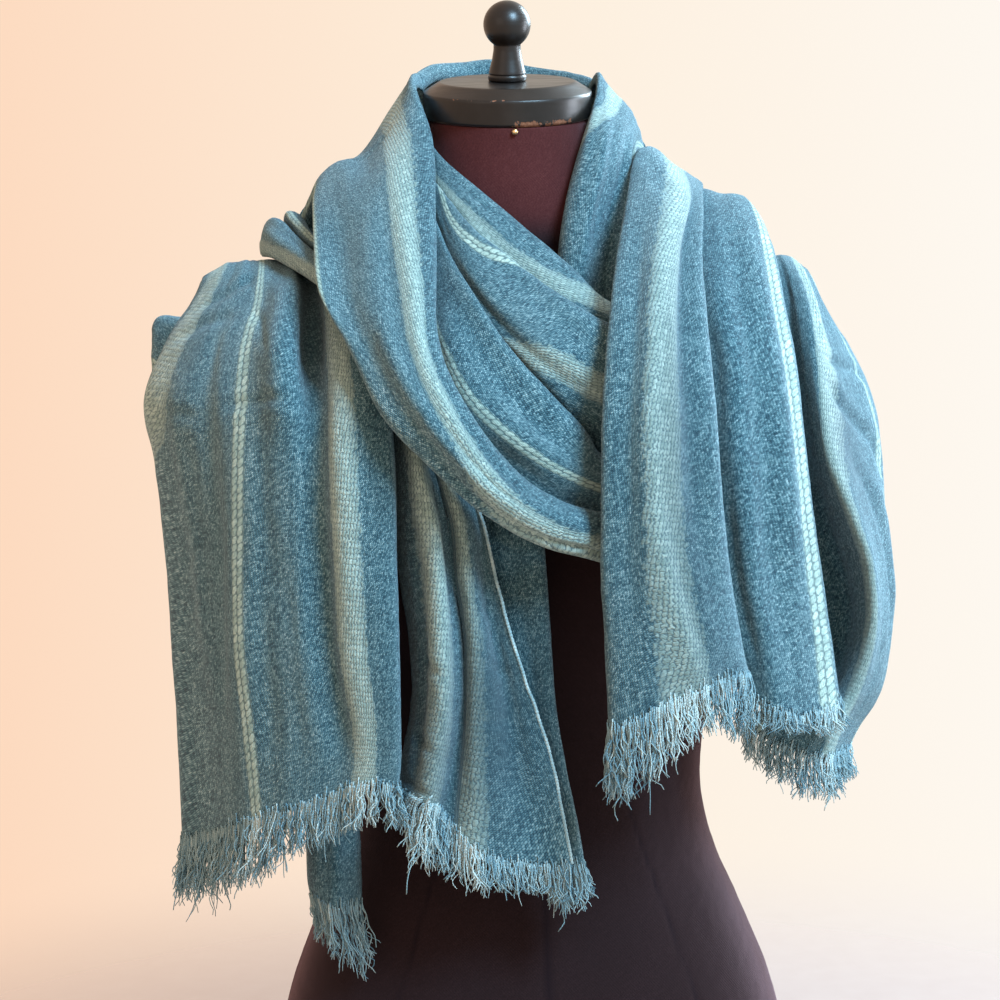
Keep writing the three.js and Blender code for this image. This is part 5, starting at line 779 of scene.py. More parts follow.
# ---------------------------------------------------------------- material helpers
class Nodes:
    def __init__(self, name):
        self.material = bpy.data.materials.new(name)
        self.material.use_nodes = True
        self.tree = self.material.node_tree
        self.tree.nodes.clear()
        self.out = self.add("ShaderNodeOutputMaterial")
        self.bsdf = self.add("ShaderNodeBsdfPrincipled")
        self.link(self.bsdf.outputs[0], self.out.inputs[0])

    def add(self, kind, **values):
        node = self.tree.nodes.new(kind)
        for k, val in values.items():
            setattr(node, k, val)
        return node

    def link(self, a, b):
        self.tree.links.new(a, b)

    def put(self, socket, value):
        if isinstance(value, bpy.types.NodeSocket):
            self.link(value, socket)
        else:
            socket.default_value = value

    def math(self, op, a, b=None, c=None, clamp=False):
        node = self.add("ShaderNodeMath", operation=op, use_clamp=clamp)
        for s, val in zip(node.inputs, (a, b, c)):
            if val is not None:
                self.put(s, val)
        return node.outputs[0]

    def ramp(self, value, stops, mode="LINEAR"):
        node = self.add("ShaderNodeValToRGB")
        node.color_ramp.interpolation = mode
        el = node.color_ramp.elements
        while len(el) < len(stops):
            el.new(0.5)
        for e, (pos, col) in zip(el, stops):
            e.position = pos
            e.color = (*col, 1) if len(col) == 3 else col
        self.put(node.inputs[0], value)
        return node.outputs[0]

    def mix(self, f, a, b, mode="MIX"):
        node = self.add("ShaderNodeMix", data_type="RGBA", blend_type=mode)
        self.put(node.inputs[0], f)
        for s, val in ((node.inputs[6], a), (node.inputs[7], b)):
            self.put(s, (*val, 1) if isinstance(val, tuple) and len(val) == 3 else val)
        return node.outputs[2]

    def map(self, value, a, b, c=0.0, d=1.0, kind="SMOOTHSTEP"):
        node = self.add("ShaderNodeMapRange", interpolation_type=kind)
        for s, val in zip(node.inputs, (value, a, b, c, d)):
            self.put(s, val)
        return node.outputs[0]

    def vector(self, x, y, z=0.0):
        node = self.add("ShaderNodeCombineXYZ")
        for s, val in zip(node.inputs, (x, y, z)):
            self.put(s, val)
        return node.outputs[0]

    def noise(self, vec, scale, detail=2.0, rough=0.5, distort=0.0):
        node = self.add("ShaderNodeTexNoise")
        self.put(node.inputs["Vector"], vec)
        node.inputs["Scale"].default_value = scale
        node.inputs["Detail"].default_value = detail
        node.inputs["Roughness"].default_value = rough
        node.inputs["Distortion"].default_value = distort
        return node.outputs[0]

    def white(self, vec):
        node = self.add("ShaderNodeTexWhiteNoise", noise_dimensions="3D")
        self.put(node.inputs["Vector"], vec)
        return node.outputs[0]

    def bump(self, height, strength, distance, normal=None):
        node = self.add("ShaderNodeBump")
        node.inputs["Strength"].default_value = strength
        node.inputs["Distance"].default_value = distance
        self.put(node.inputs["Height"], height)
        if normal is not None:
            self.link(normal, node.inputs["Normal"])
        return node.outputs[0]

    def split(self, vec):
        node = self.add("ShaderNodeSeparateXYZ")
        self.link(vec, node.inputs[0])
        return node.outputs

    def attribute(self, name):
        return self.add("ShaderNodeAttribute", attribute_name=name)

    def finish(self, color, roughness, **sockets):
        self.put(self.bsdf.inputs["Base Color"], color if isinstance(color, bpy.types.NodeSocket) else (*color, 1))
        self.put(self.bsdf.inputs["Roughness"], roughness)
        for k, val in sockets.items():
            self.put(self.bsdf.inputs[k.replace("_", " ")], val)
        return self.material


# stripes across the cloth, in mm from one selvedge
STRIPE_PITCH = 160.0
WIDE_FIRST = 50.0
NARROW_FIRST = 130.0
WIDE_HALF = 11.6
NARROW_HALF = 4.7

DEEP = (0.009, 0.030, 0.045)
BLUE = (0.026, 0.078, 0.105)
MID = (0.066, 0.150, 0.180)
FLECK = (0.170, 0.290, 0.320)
PALE = (0.370, 0.500, 0.530)


def cells(n, u, v, pitch_u, pitch_v, shift=0.5):
    """Woven cells: (random per cell, dome 0..1 over each cell)."""
    cu = n.math("DIVIDE", u, pitch_u)
    iu = n.math("FLOOR", cu)
    fu = n.math("SUBTRACT", cu, iu)
    cv = n.math("MULTIPLY_ADD", iu, shift, n.math("DIVIDE", v, pitch_v))
    iv = n.math("FLOOR", cv)
    fv = n.math("SUBTRACT", cv, iv)
    rnd = n.white(n.vector(iu, iv, 0.37))
    du = n.math("ABSOLUTE", n.math("SUBTRACT", n.math("MULTIPLY", fu, 2.0), 1.0))
    dv = n.math("ABSOLUTE", n.math("SUBTRACT", n.math("MULTIPLY", fv, 2.0), 1.0))
    r2 = n.math("ADD", n.math("MULTIPLY", du, du), n.math("POWER", dv, 3.0))
    dome = n.math("SUBTRACT", 1.0, n.math("MULTIPLY", r2, 0.8), clamp=True)
    return rnd, dome


def scales(n, u, v, pitch_u, pitch_v, uneven):
    """Uneven floats packed like scales: (random per float, 0 at its edge .. 1 inside)."""
    vec = n.vector(n.math("DIVIDE", u, pitch_u), n.math("DIVIDE", v, pitch_v))
    edge = n.add("ShaderNodeTexVoronoi", voronoi_dimensions="2D", feature="DISTANCE_TO_EDGE")
    body = n.add("ShaderNodeTexVoronoi", voronoi_dimensions="2D", feature="F1")
    for node in (edge, body):
        n.put(node.inputs["Vector"], vec)
        node.inputs["Scale"].default_value = 1.0
        node.inputs["Randomness"].default_value = uneven
    return n.split(body.outputs["Color"])[0], n.map(edge.outputs["Distance"], 0.03, 0.24)


def cloth_material():
    n = Nodes("woven_cloth")
    uv = n.attribute("cloth").outputs["Vector"]
    u0, v0, painted_shade_mask = n.split(uv)
    # yarns wander a little
    place = n.vector(n.math("MULTIPLY", u0, 0.05), n.math("MULTIPLY", v0, 0.03))
    u = n.math("ADD", u0, n.math("MULTIPLY", n.math("SUBTRACT", n.noise(place, 1.0, 2.0), 0.5), 3.0))
    v = n.math("ADD", v0, n.math("MULTIPLY", n.math("SUBTRACT", n.noise(n.vector(n.math("MULTIPLY", u0, 0.03), n.math("MULTIPLY", v0, 0.06), 4.0), 1.0, 2.0), 0.5), 5.0))
    jitter = n.noise(n.vector(n.math("MULTIPLY", u0, 0.55), n.math("MULTIPLY", v0, 0.45), 21.0), 1.0, 1.0)
    jitter = n.math("MULTIPLY", n.math("SUBTRACT", jitter, 0.5), 1.5)

    # ground: short twill floats that climb to the right, pale on dark
    small = n.math("MULTIPLY", jitter, 0.45)
    a = n.math("MULTIPLY", n.math("ADD", n.math("SUBTRACT", u, v), small), 0.7071)
    b = n.math("MULTIPLY", n.math("ADD", n.math("ADD", u, v), small), 0.7071)
    rnd, dome = cells(n, b, a, 0.85, 1.6, 0.37)
    rnd2, dome2 = cells(n, u, v, 1.05, 1.15)
    soft = n.noise(n.vector(n.math("MULTIPLY", u0, 1.5), n.math("MULTIPLY", v0, 1.1)), 1.0, 2.0, 0.7)
    blotch = n.noise(n.vector(n.math("MULTIPLY", u0, 0.030), n.math("MULTIPLY", v0, 0.014), 2.0), 1.0, 2.0, 0.5)
    band = n.noise(n.vector(n.math("MULTIPLY", u0, 0.075), n.math("MULTIPLY", v0, 0.0022), 5.0), 1.0, 2.0, 0.5)
    weft = n.noise(n.vector(n.math("MULTIPLY", u0, 0.016), n.math("MULTIPLY", v0, 0.50), 7.0), 1.0, 2.0, 0.6)
    warp = n.noise(n.vector(n.math("MULTIPLY", u0, 0.72), n.math("MULTIPLY", v0, 0.010), 9.0), 1.0, 2.0, 0.6)
    level = n.math("MULTIPLY", rnd, 0.40)
    for part, weight in ((rnd2, 0.26), (soft, 0.08), (blotch, 0.14), (band, 0.24), (weft, 0.18), (warp, 0.30)):
        level = n.math("MULTIPLY_ADD", part, weight, level)
    level = n.math("MULTIPLY_ADD", dome, 0.40, level)
    level = n.math("SUBTRACT", level, 0.575)
    ground = n.ramp(level, [(0.05, DEEP), (0.30, BLUE), (0.52, MID), (0.76, FLECK), (1.0, PALE)])
    ground_h = n.math("ADD", n.math("MULTIPLY", dome, 0.7), n.math("MULTIPLY", dome2, 0.4))
    ground_h = n.math("MULTIPLY_ADD", soft, 0.3, ground_h)

    # wide stripes: cream floats that overlap like scales and lean to the left
    lean_u = n.math("MULTIPLY_ADD", v, 0.16, n.math("MULTIPLY_ADD", jitter, 1.7, u))
    lean_v = n.math("MULTIPLY_ADD", u, 0.62, n.math("MULTIPLY_ADD", jitter, 2.5, v))
    srnd, sdome = cells(n, lean_u, lean_v, 2.2, 3.2, 0.5)
    tone = n.math("MULTIPLY_ADD", srnd, 0.34, n.math("MULTIPLY_ADD", rnd, 0.22, n.math("MULTIPLY", soft, 0.30)))
    cream = n.ramp(n.math("MULTIPLY_ADD", blotch, 0.2, tone),
                   [(0.22, (0.160, 0.246, 0.232)), (0.50, (0.250, 0.352, 0.326)), (0.85, (0.392, 0.512, 0.470))])
    wide_colour = n.mix(n.map(sdome, 0.08, 0.62), (0.092, 0.150, 0.160), cream)

    def stripe(first, half, soft_edge, ragged):
        x = n.math("SUBTRACT", u0, first)
        x = n.math("SUBTRACT", x, n.math("MULTIPLY", n.math("ROUND", n.math("DIVIDE", x, STRIPE_PITCH)), STRIPE_PITCH))
        d = n.math("ABSOLUTE", x)
        wobble = n.math("MULTIPLY", n.math("SUBTRACT", n.noise(n.vector(n.math("MULTIPLY", u0, 0.5), n.math("MULTIPLY", v0, 0.4), 12.0), 1.0, 1.0), 0.5), 1.8)
        d = n.math("ADD", d, wobble)
        d = n.math("MULTIPLY_ADD", n.math("SUBTRACT", srnd, 0.5), ragged, d)
        return x, n.map(d, half - soft_edge, half + soft_edge, 1.0, 0.0)

    _, wide = stripe(WIDE_FIRST, WIDE_HALF, 1.0, 3.0)
    x_narrow, narrow = stripe(NARROW_FIRST, NARROW_HALF, 0.7, 0.6)
    # the wide stripe is a little thinner in colour at its sides
    _, core = stripe(WIDE_FIRST, WIDE_HALF - 3.5, 4.0, 2.0)
    wide_colour = n.mix(n.map(core, 0.0, 1.0, 0.34, 0.0), wide_colour, ground)

    # narrow stripes: two columns of slanting oval floats, uneven like handwork
    x_plait = n.math("MULTIPLY_ADD", jitter, 0.7, x_narrow)
    lean = n.math("MULTIPLY_ADD", x_plait, 0.75, n.math("MULTIPLY_ADD", jitter, 1.2, v))
    brnd, bdome = cells(n, n.math("ADD", x_plait, 8.8), lean, 4.4, 5.2)
    tone2 = n.math("MULTIPLY_ADD", brnd, 0.25, n.math("MULTIPLY_ADD", rnd, 0.30, n.math("MULTIPLY", soft, 0.35)))
    plait = n.ramp(tone2, [(0.20, (0.185, 0.285, 0.262)), (0.48, (0.310, 0.430, 0.388)), (0.80, (0.480, 0.610, 0.550))])
    plait = n.mix(n.map(bdome, 0.06, 0.74), (0.090, 0.150, 0.150), plait)

    colour = n.mix(wide, ground, wide_colour)
    colour = n.mix(narrow, colour, plait)
    # painted shade: the cloth darkens towards deep blue where the third attribute component says
    colour = n.mix(painted_shade_mask, colour, (0.012, 0.032, 0.044))
    height = n.math("ADD", n.math("MULTIPLY", n.math("SUBTRACT", 1.0, wide), ground_h),
                    n.math("MULTIPLY", wide, n.math("ADD", n.math("MULTIPLY", sdome, 1.1), n.math("MULTIPLY", ground_h, 0.3))))
    height = n.math("MULTIPLY_ADD", n.math("MULTIPLY", narrow, bdome), 1.0, height)
    bumped = n.bump(height, 0.62, 0.0007)
    return n.finish(colour, 0.93, Normal=bumped, Sheen_Weight=0.22, Sheen_Roughness=0.5,
                    Sheen_Tint=(0.75, 0.9, 1.0, 1.0), Specular_IOR_Level=0.15)


def yarn_material():
    n = Nodes("fringe_yarn")
    a = n.attribute("cloth").outputs["Vector"]
    u0, v0, tone = n.split(a)
    fibre = n.noise(n.vector(n.math("MULTIPLY", u0, 2.2), n.math("MULTIPLY", v0, 0.9), 3.0), 1.0, 3.0, 0.6)
    level = n.math("ADD", n.math("MULTIPLY", tone, 0.80), n.math("MULTIPLY", fibre, 0.3))
    colour = n.ramp(level, [(0.0, (0.030, 0.085, 0.120)), (0.35, (0.095, 0.190, 0.235)), (0.70, (0.240, 0.360, 0.385)), (1.0, (0.480, 0.590, 0.580))])
    twist = n.math("SINE", n.math("MULTIPLY", n.math("ADD", n.math("MULTIPLY", u0, 1.6), v0), 3.4))
    return n.finish(colour, 0.95, Normal=n.bump(twist, 0.4, 0.0003), Sheen_Weight=0.3, Sheen_Roughness=0.5,
                    Sheen_Tint=(0.8, 0.95, 1.0, 1.0), Specular_IOR_Level=0.12)


def jersey_material():
    n = Nodes("form_jersey")
    place = n.add("ShaderNodeTexCoord").outputs["Object"]
    a = n.attribute("cloth").outputs["Vector"]
    u0, v0, seam = n.split(a)
    _, knit = cells(n, u0, v0, 0.95, 0.8)
    fuzz = n.noise(place, 900.0, 2.0, 0.6)
    patchy = n.noise(place, 9.0, 3.0, 0.55)
    slub = n.noise(n.vector(n.math("MULTIPLY", u0, 0.9), n.math("MULTIPLY", v0, 0.12), 1.0), 1.0, 2.0, 0.6)
    level = n.math("MULTIPLY", fuzz, 0.45)
    for part, weight in ((patchy, 0.4), (slub, 0.25), (knit, 0.12)):
        level = n.math("MULTIPLY_ADD", part, weight, level)
    colour = n.ramp(level, [(0.30, (0.0062, 0.0030, 0.0036)), (0.62, (0.0132, 0.0066, 0.0076)), (0.95, (0.028, 0.0150, 0.0170))])
    z = n.split(place)[2]
    neck = n.map(z, 0.645, 0.668)
    maroon = n.ramp(level, [(0.30, (0.028, 0.0075, 0.0075)), (0.62, (0.062, 0.0150, 0.0150)), (0.95, (0.104, 0.032, 0.030))])
    colour = n.mix(neck, colour, maroon)
    colour = n.mix(n.math("MULTIPLY", seam, 0.75), colour, (0.006, 0.003, 0.005))
    height = n.math("ADD", knit, n.math("MULTIPLY", fuzz, 0.8))
    return n.finish(colour, 0.9, Normal=n.bump(height, 0.35, 0.0004), Sheen_Weight=n.map(z, 0.58, 0.66, 0.42, 0.28), Sheen_Roughness=0.38,
                    Sheen_Tint=(1.0, 0.62, 0.70, 1.0), Specular_IOR_Level=0.12)


def lacquer_material():
    n = Nodes("black_lacquer")
    place = n.add("ShaderNodeTexCoord").outputs["Object"]
    wear = n.split(n.attribute("cloth").outputs["Vector"])[2]
    edge = n.noise(place, 190.0, 4.0, 0.62, 0.4)
    fine = n.noise(place, 900.0, 3.0, 0.6)
    chip = n.map(n.math("ADD", wear, n.math("MULTIPLY", n.math("SUBTRACT", edge, 0.5), 1.5)), 0.60, 0.66)
    scratch = n.noise(n.vector(n.math("MULTIPLY", n.split(place)[0], 30.0), n.math("MULTIPLY", n.split(place)[1], 30.0), n.math("MULTIPLY", n.split(place)[2], 900.0)), 1.0, 3.0, 0.7)
    black = n.ramp(n.noise(place, 60.0, 3.0), [(0.35, (0.0065, 0.0055, 0.005)), (0.8, (0.016, 0.0125, 0.011))])
    wood = n.ramp(n.math("ADD", n.math("MULTIPLY", fine, 0.5), n.math("MULTIPLY", edge, 0.5)),
                  [(0.3, (0.055, 0.018, 0.009)), (0.55, (0.16, 0.062, 0.030)), (0.8, (0.36, 0.20, 0.12))])
    colour = n.mix(chip, black, wood)
    rough = n.math("ADD", n.math("MULTIPLY", chip, 0.40), n.math("MULTIPLY_ADD", scratch, 0.30, 0.20))
    height = n.math("SUBTRACT", n.math("MULTIPLY", fine, 0.12), chip)
    return n.finish(colour, rough, Normal=n.bump(height, 0.5, 0.0006), Specular_IOR_Level=0.34, Coat_Weight=0.06, Coat_Roughness=0.15)


def brass_material():
    n = Nodes("pin_brass")
    place = n.add("ShaderNodeTexCoord").outputs["Object"]
    spots = n.noise(place, 1400.0, 3.0)
    colour = n.ramp(spots, [(0.3, (0.55, 0.35, 0.16)), (0.7, (0.85, 0.66, 0.36))])
    return n.finish(colour, n.math("MULTIPLY_ADD", spots, 0.25, 0.18), Metallic=1.0, Normal=n.bump(spots, 0.15, 0.0002))


def board_material():
    n = Nodes("base_board")
    place = n.add("ShaderNodeTexCoord").outputs["Object"]
    x, y, z = n.split(place)
    grain = n.noise(n.vector(n.math("MULTIPLY", x, 6.0), n.math("MULTIPLY", y, 90.0), n.math("MULTIPLY", z, 60.0)), 1.0, 4.0, 0.6, 0.6)
    fine = n.noise(n.vector(n.math("MULTIPLY", x, 60.0), n.math("MULTIPLY", y, 900.0), n.math("MULTIPLY", z, 400.0)), 1.0, 2.0)
    colour = n.ramp(n.math("ADD", n.math("MULTIPLY", grain, 0.75), n.math("MULTIPLY", fine, 0.25)),
                    [(0.3, (0.045, 0.024, 0.014)), (0.55, (0.105, 0.058, 0.034)), (0.8, (0.17, 0.10, 0.06))])
    return n.finish(colour, n.math("MULTIPLY_ADD", fine, 0.2, 0.45), Normal=n.bump(grain, 0.2, 0.0006))


CLOTH, YARN, JERSEY, LACQUER, BRASS, BOARD = (
    cloth_material(), yarn_material(), jersey_material(), lacquer_material(), brass_material(), board_material())


# ---------------------------------------------------------------- torso
BUST = (26.0, 72.0, 450.0, 46.0, 54.0)
CAP_TILT = math.radians(11.0)
TILT_START = 690.0


def torso_point(a, z, sec):
    half, front, back, cy, sq = sec
    c, s = np.cos(a), np.sin(a)
    e = 2 / sq
    x = half * np.sign(c) * np.abs(c) ** e
    y = cy + np.where(s < 0, front, back) * np.sign(s) * np.abs(s) ** e
    out, bx, bz, sx, sz = BUST
    y = y - out * np.clip((cy - y) / front * 1.2, 0, 1) * np.exp(-(((np.abs(x) - bx) / sx) ** 2) - ((z - bz) / sz) ** 2)
    lean = math.tan(CAP_TILT) * np.clip((z - TILT_START) / (NECK_TOP - TILT_START), 0, 1)
    return np.stack([x, y, z + lean * y], -1)


def seam_depth(p):
    """0..1 on the cover's seams: centre front and back, side to side, princess lines, neck."""
    x, y, z = p[..., 0], p[..., 1], p[..., 2]
    line = np.interp(z, [0, 130, 200, 281, 380, 450, 560, 620], [112, 106, 84, 58, 66, 74, 86, 100])
    w = 1.1
    body = smooth(z, 640, 650)
    s = np.exp(-(((np.abs(x) - line) / w) ** 2)) * (1 - body)
    s = np.maximum(s, np.exp(-((x / w) ** 2)) * (1 - body))
    s = np.maximum(s, np.exp(-((y / w) ** 2)) * (z < 590))
    s = np.maximum(s, np.exp(-(((z - 651 - 0.14 * y) / w) ** 2)))
    return s


def make_torso():
    t = SECTIONS[:, 0]
    zs = np.concatenate([np.arange(t[0], NECK_TOP, 2.6), [NECK_TOP]])
    sec = along(SECTIONS[:, 1:], t, zs)
    count = 288
    a = 2 * np.pi * np.arange(count) / count
    rings = np.array([torso_point(a, z, s) for z, s in zip(zs, sec)])
    nxt, prv = np.roll(rings, -1, 1), np.roll(rings, 1, 1)
    n = np.cross(nxt - prv, np.gradient(rings, axis=0))
    n /= np.linalg.norm(n, axis=2, keepdims=True) + 1e-9
    seam = seam_depth(rings)
    x, z = rings[..., 0], rings[..., 2]
    # the cover puckers along its seams and pulls a little at the waist
    pull = 0.35 * noise(x / 26, z / 14, 11) + 0.5 * noise(x / 60, z / 38, 12)
    pucker = 0.25 * np.exp(-((np.abs(seam - 0.25) / 0.3) ** 2)) * noise(x / 3, z / 5, 13)
    rings = rings + n * (-0.3 - 0.55 * seam + 0.5 * np.clip(pull, -1, 0.4) + pucker)[..., None]
    seg = np.linalg.norm(np.roll(rings, -1, 1) - rings, axis=2)
    around = np.concatenate([np.zeros((len(zs), 1)), np.cumsum(seg, 1)[:, :-1]], 1)
    up = np.repeat(zs[:, None], count, 1)
    cloth = np.stack([around, up, seam], -1).reshape(-1, 3)
    idx = np.arange(len(zs) * count).reshape(len(zs), count)
    r = np.roll(idx, -1, 1)
    f = np.stack([idx[:-1], r[:-1], r[1:], idx[1:]], -1).reshape(-1, 4).tolist()
    pts = rings.reshape(-1, 3)
    low, high = rings[0].mean(0), rings[-1].mean(0)
    k = len(pts)
    pts = np.concatenate([pts, [low, high]])
    cloth = np.concatenate([cloth, [[0, 0, 0], [0, 0, 0]]])
    f += [[k, idx[0, (i + 1) % count], idx[0, i]] for i in range(count)]
    f += [[k + 1, idx[-1, i], idx[-1, (i + 1) % count]] for i in range(count)]
    f = [[int(x) for x in q] for q in f]
    ob = new_mesh("torso_cover", pts, f, JERSEY, cloth)
    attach(ob, "root")
    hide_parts("form_body")
    return ob


# ---------------------------------------------------------------- turned pieces
def rounded(profile, step):
    """A turned profile with its corners eased and its lines divided."""
    p = [np.array(q, float) for q in profile]
    out = [p[0]]
    for a, b, c in zip(p, p[1:], p[2:]):
        r = min(np.linalg.norm(b - a), np.linalg.norm(c - b)) * 0.32
        r = min(r, 1.1)
        s, e = b + (a - b) / np.linalg.norm(a - b) * r, b + (c - b) / np.linalg.norm(c - b) * r
        for k in range(4):
            t = k / 3
            out.append((1 - t) ** 2 * s + 2 * t * (1 - t) * b + t * t * e)
    out.append(p[-1])
    fine = []
    for a, b in zip(out, out[1:]):
        n = max(1, int(np.linalg.norm(b - a) / step))
        fine += [a + (b - a) * k / n for k in range(n)]
    return np.array(fine + [out[-1]])


def turned(name, profile, count, lift, material, wear=None):
    prof = profile[(profile[:, 0] > 1e-6)]
    a = 2 * np.pi * np.arange(count) / count
    rings = np.stack([
        np.stack([r * np.cos(a), r * np.sin(a), np.full(count, z)], -1) for r, z in prof
    ])
    local = rings.copy()
    rings[..., 2] += lift
    pts = rings.reshape(-1, 3)
    k = len(pts)
    ends = np.array([[0, 0, profile[0, 1] + lift], [0, 0, profile[-1, 1] + lift]])
    pts = np.concatenate([pts, ends])
    c, s = math.cos(CAP_TILT), math.sin(CAP_TILT)
    pts = np.stack([pts[:, 0], pts[:, 1] * c - pts[:, 2] * s, pts[:, 1] * s + pts[:, 2] * c], -1)
    pts += np.array([0, -3.0, NECK_TOP - 3.0 * math.tan(CAP_TILT)])
    idx = np.arange(k).reshape(len(prof), count)
    r = np.roll(idx, -1, 1)
    f = np.stack([idx[:-1], r[:-1], r[1:], idx[1:]], -1).reshape(-1, 4).tolist()
    f += [[k, int(idx[0, (i + 1) % count]), int(idx[0, i])] for i in range(count)]
    f += [[k + 1, int(idx[-1, i]), int(idx[-1, (i + 1) % count])] for i in range(count)]
    w = np.zeros(k + 2) if wear is None else np.concatenate([wear(local.reshape(-1, 3)), [0, 0]])
    cloth = np.stack([np.zeros(k + 2), np.zeros(k + 2), w], -1)
    ob = new_mesh(name, pts, f, material, cloth)
    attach(ob, "root")
    return ob


CAP_PROFILE = [(0, 0), (53.5, 0), (55, 1.5), (55.5, 15.5), (55.1, 17), (45.5, 22.9), (44, 23.5), (0, 23.5)]


def cap_wear(p):
    """Where the lacquer is worn: the lower front right, and the rim's edge."""
    deg = np.degrees(np.arctan2(p[:, 0], -p[:, 1]))     # 0 at the front, + to the right
    z = p[:, 2]
    w = 0.72 * np.exp(-(((z - 2) / 4.5) ** 2)) * smooth(deg, -8, 2) * (1 - smooth(deg, 36, 52))
    w = np.maximum(w, 0.58 * np.exp(-(((z - 17) / 1.6) ** 2)) * smooth(deg, -62, -50) * (1 - smooth(deg, -6, 6)))
    w = np.maximum(w, 0.30 * np.exp(-(((z - 17) / 1.2) ** 2)))
    w = np.maximum(w, 0.36 * np.exp(-(((z - 0.5) / 1.5) ** 2)))
    return w


def make_hardware():
    cap = turned("neck_cap_lacquered", rounded(CAP_PROFILE, 1.3), 160, 0.3, LACQUER, cap_wear)
    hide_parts("neck_cap")
    ball = [(15.4 * math.sin(a), 36 + 15.4 * math.cos(a)) for a in np.linspace(math.pi - math.asin(8.9 / 15.4), 0.03, 26)]
    stem = rounded([(0, 0), (12.4, 0), (12.6, 3), (11.8, 4), (12.2, 5), (11.4, 8), (9.9, 14), (8.9, 20), ball[0]], 1.0)
    prof = np.concatenate([stem, np.array(ball[1:]), [[0, 51.4]]])
    fin = turned("finial_lacquered", prof, 72, 24.1, LACQUER, lambda p: 0.12 + 0.1 * np.exp(-((p[:, 2] - 3) / 1.2) ** 2))
    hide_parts("finial")
    # the pin head keeps the CAD node's place
    low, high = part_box("neck_pin")
    centre = (low + high) / 2 / MM
    r = (high.x - low.x) / 2 / MM
    prof = [(r * math.sin(a), r * 0.9 * (1 - math.cos(a))) for a in np.linspace(0.0, 1.45, 9)]
    pts, f = [], []
    count = 24
    for i, (rad, deep) in enumerate(prof):
        for k in range(count):
            a = 2 * math.pi * k / count
            pts.append((centre.x + rad * math.cos(a), low.y / MM + deep, centre.z + rad * math.sin(a)))
    for i in range(len(prof) - 1):
        for k in range(count):
            f.append([i * count + k, i * count + (k + 1) % count, (i + 1) * count + (k + 1) % count, (i + 1) * count + k])
    f.append([(len(prof) - 1) * count + k for k in range(count)][::-1])
    pin = new_mesh("pin_head", np.array(pts), [list(map(int, q)) for q in f], BRASS)
    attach(pin, "root")
    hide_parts("neck_pin")


# ---------------------------------------------------------------- fringe
def stripe_tone(u):
    """How pale the warp is at u."""
    w = np.abs((u - WIDE_FIRST + STRIPE_PITCH / 2) % STRIPE_PITCH - STRIPE_PITCH / 2)
    b = np.abs((u - NARROW_FIRST + STRIPE_PITCH / 2) % STRIPE_PITCH - STRIPE_PITCH / 2)
    return np.where(w < WIDE_HALF, 1.0, np.where(b < NARROW_HALF, 0.9, 0.0))


def tubes(name, lines, radii, cloth, material, sides=5):
    """Many yarns as one mesh. lines: list of (n, 3); radii: list of (n,); cloth: list of (n, 3)."""
    pts, faces, att, ends = [], [], [], []
    base = 0
    ang = 2 * np.pi * np.arange(sides) / sides
    for line, rad, c in zip(lines, radii, cloth):
        t = np.gradient(line, axis=0)
        t /= np.linalg.norm(t, axis=1, keepdims=True) + 1e-9
        ref = np.array([0.31, -0.93, 0.18])
        n = np.cross(t, ref)
        n /= np.linalg.norm(n, axis=1, keepdims=True) + 1e-9
        b = np.cross(t, n)
        ring = line[:, None] + rad[:, None, None] * (np.cos(ang)[None, :, None] * n[:, None] + np.sin(ang)[None, :, None] * b[:, None])
        k = len(line)
        pts.append(ring.reshape(-1, 3))
        att.append(np.repeat(c, sides, axis=0))
        idx = base + np.arange(k * sides).reshape(k, sides)
        r = np.roll(idx, -1, 1)
        faces.append(np.stack([idx[:-1], idx[1:], r[1:], r[:-1]], -1).reshape(-1, 4))
        base += k * sides
        ends += [idx[0].tolist(), idx[-1, ::-1].tolist()]
    return new_mesh(name, np.concatenate(pts), np.concatenate(faces).tolist() + ends, material, np.concatenate(att))


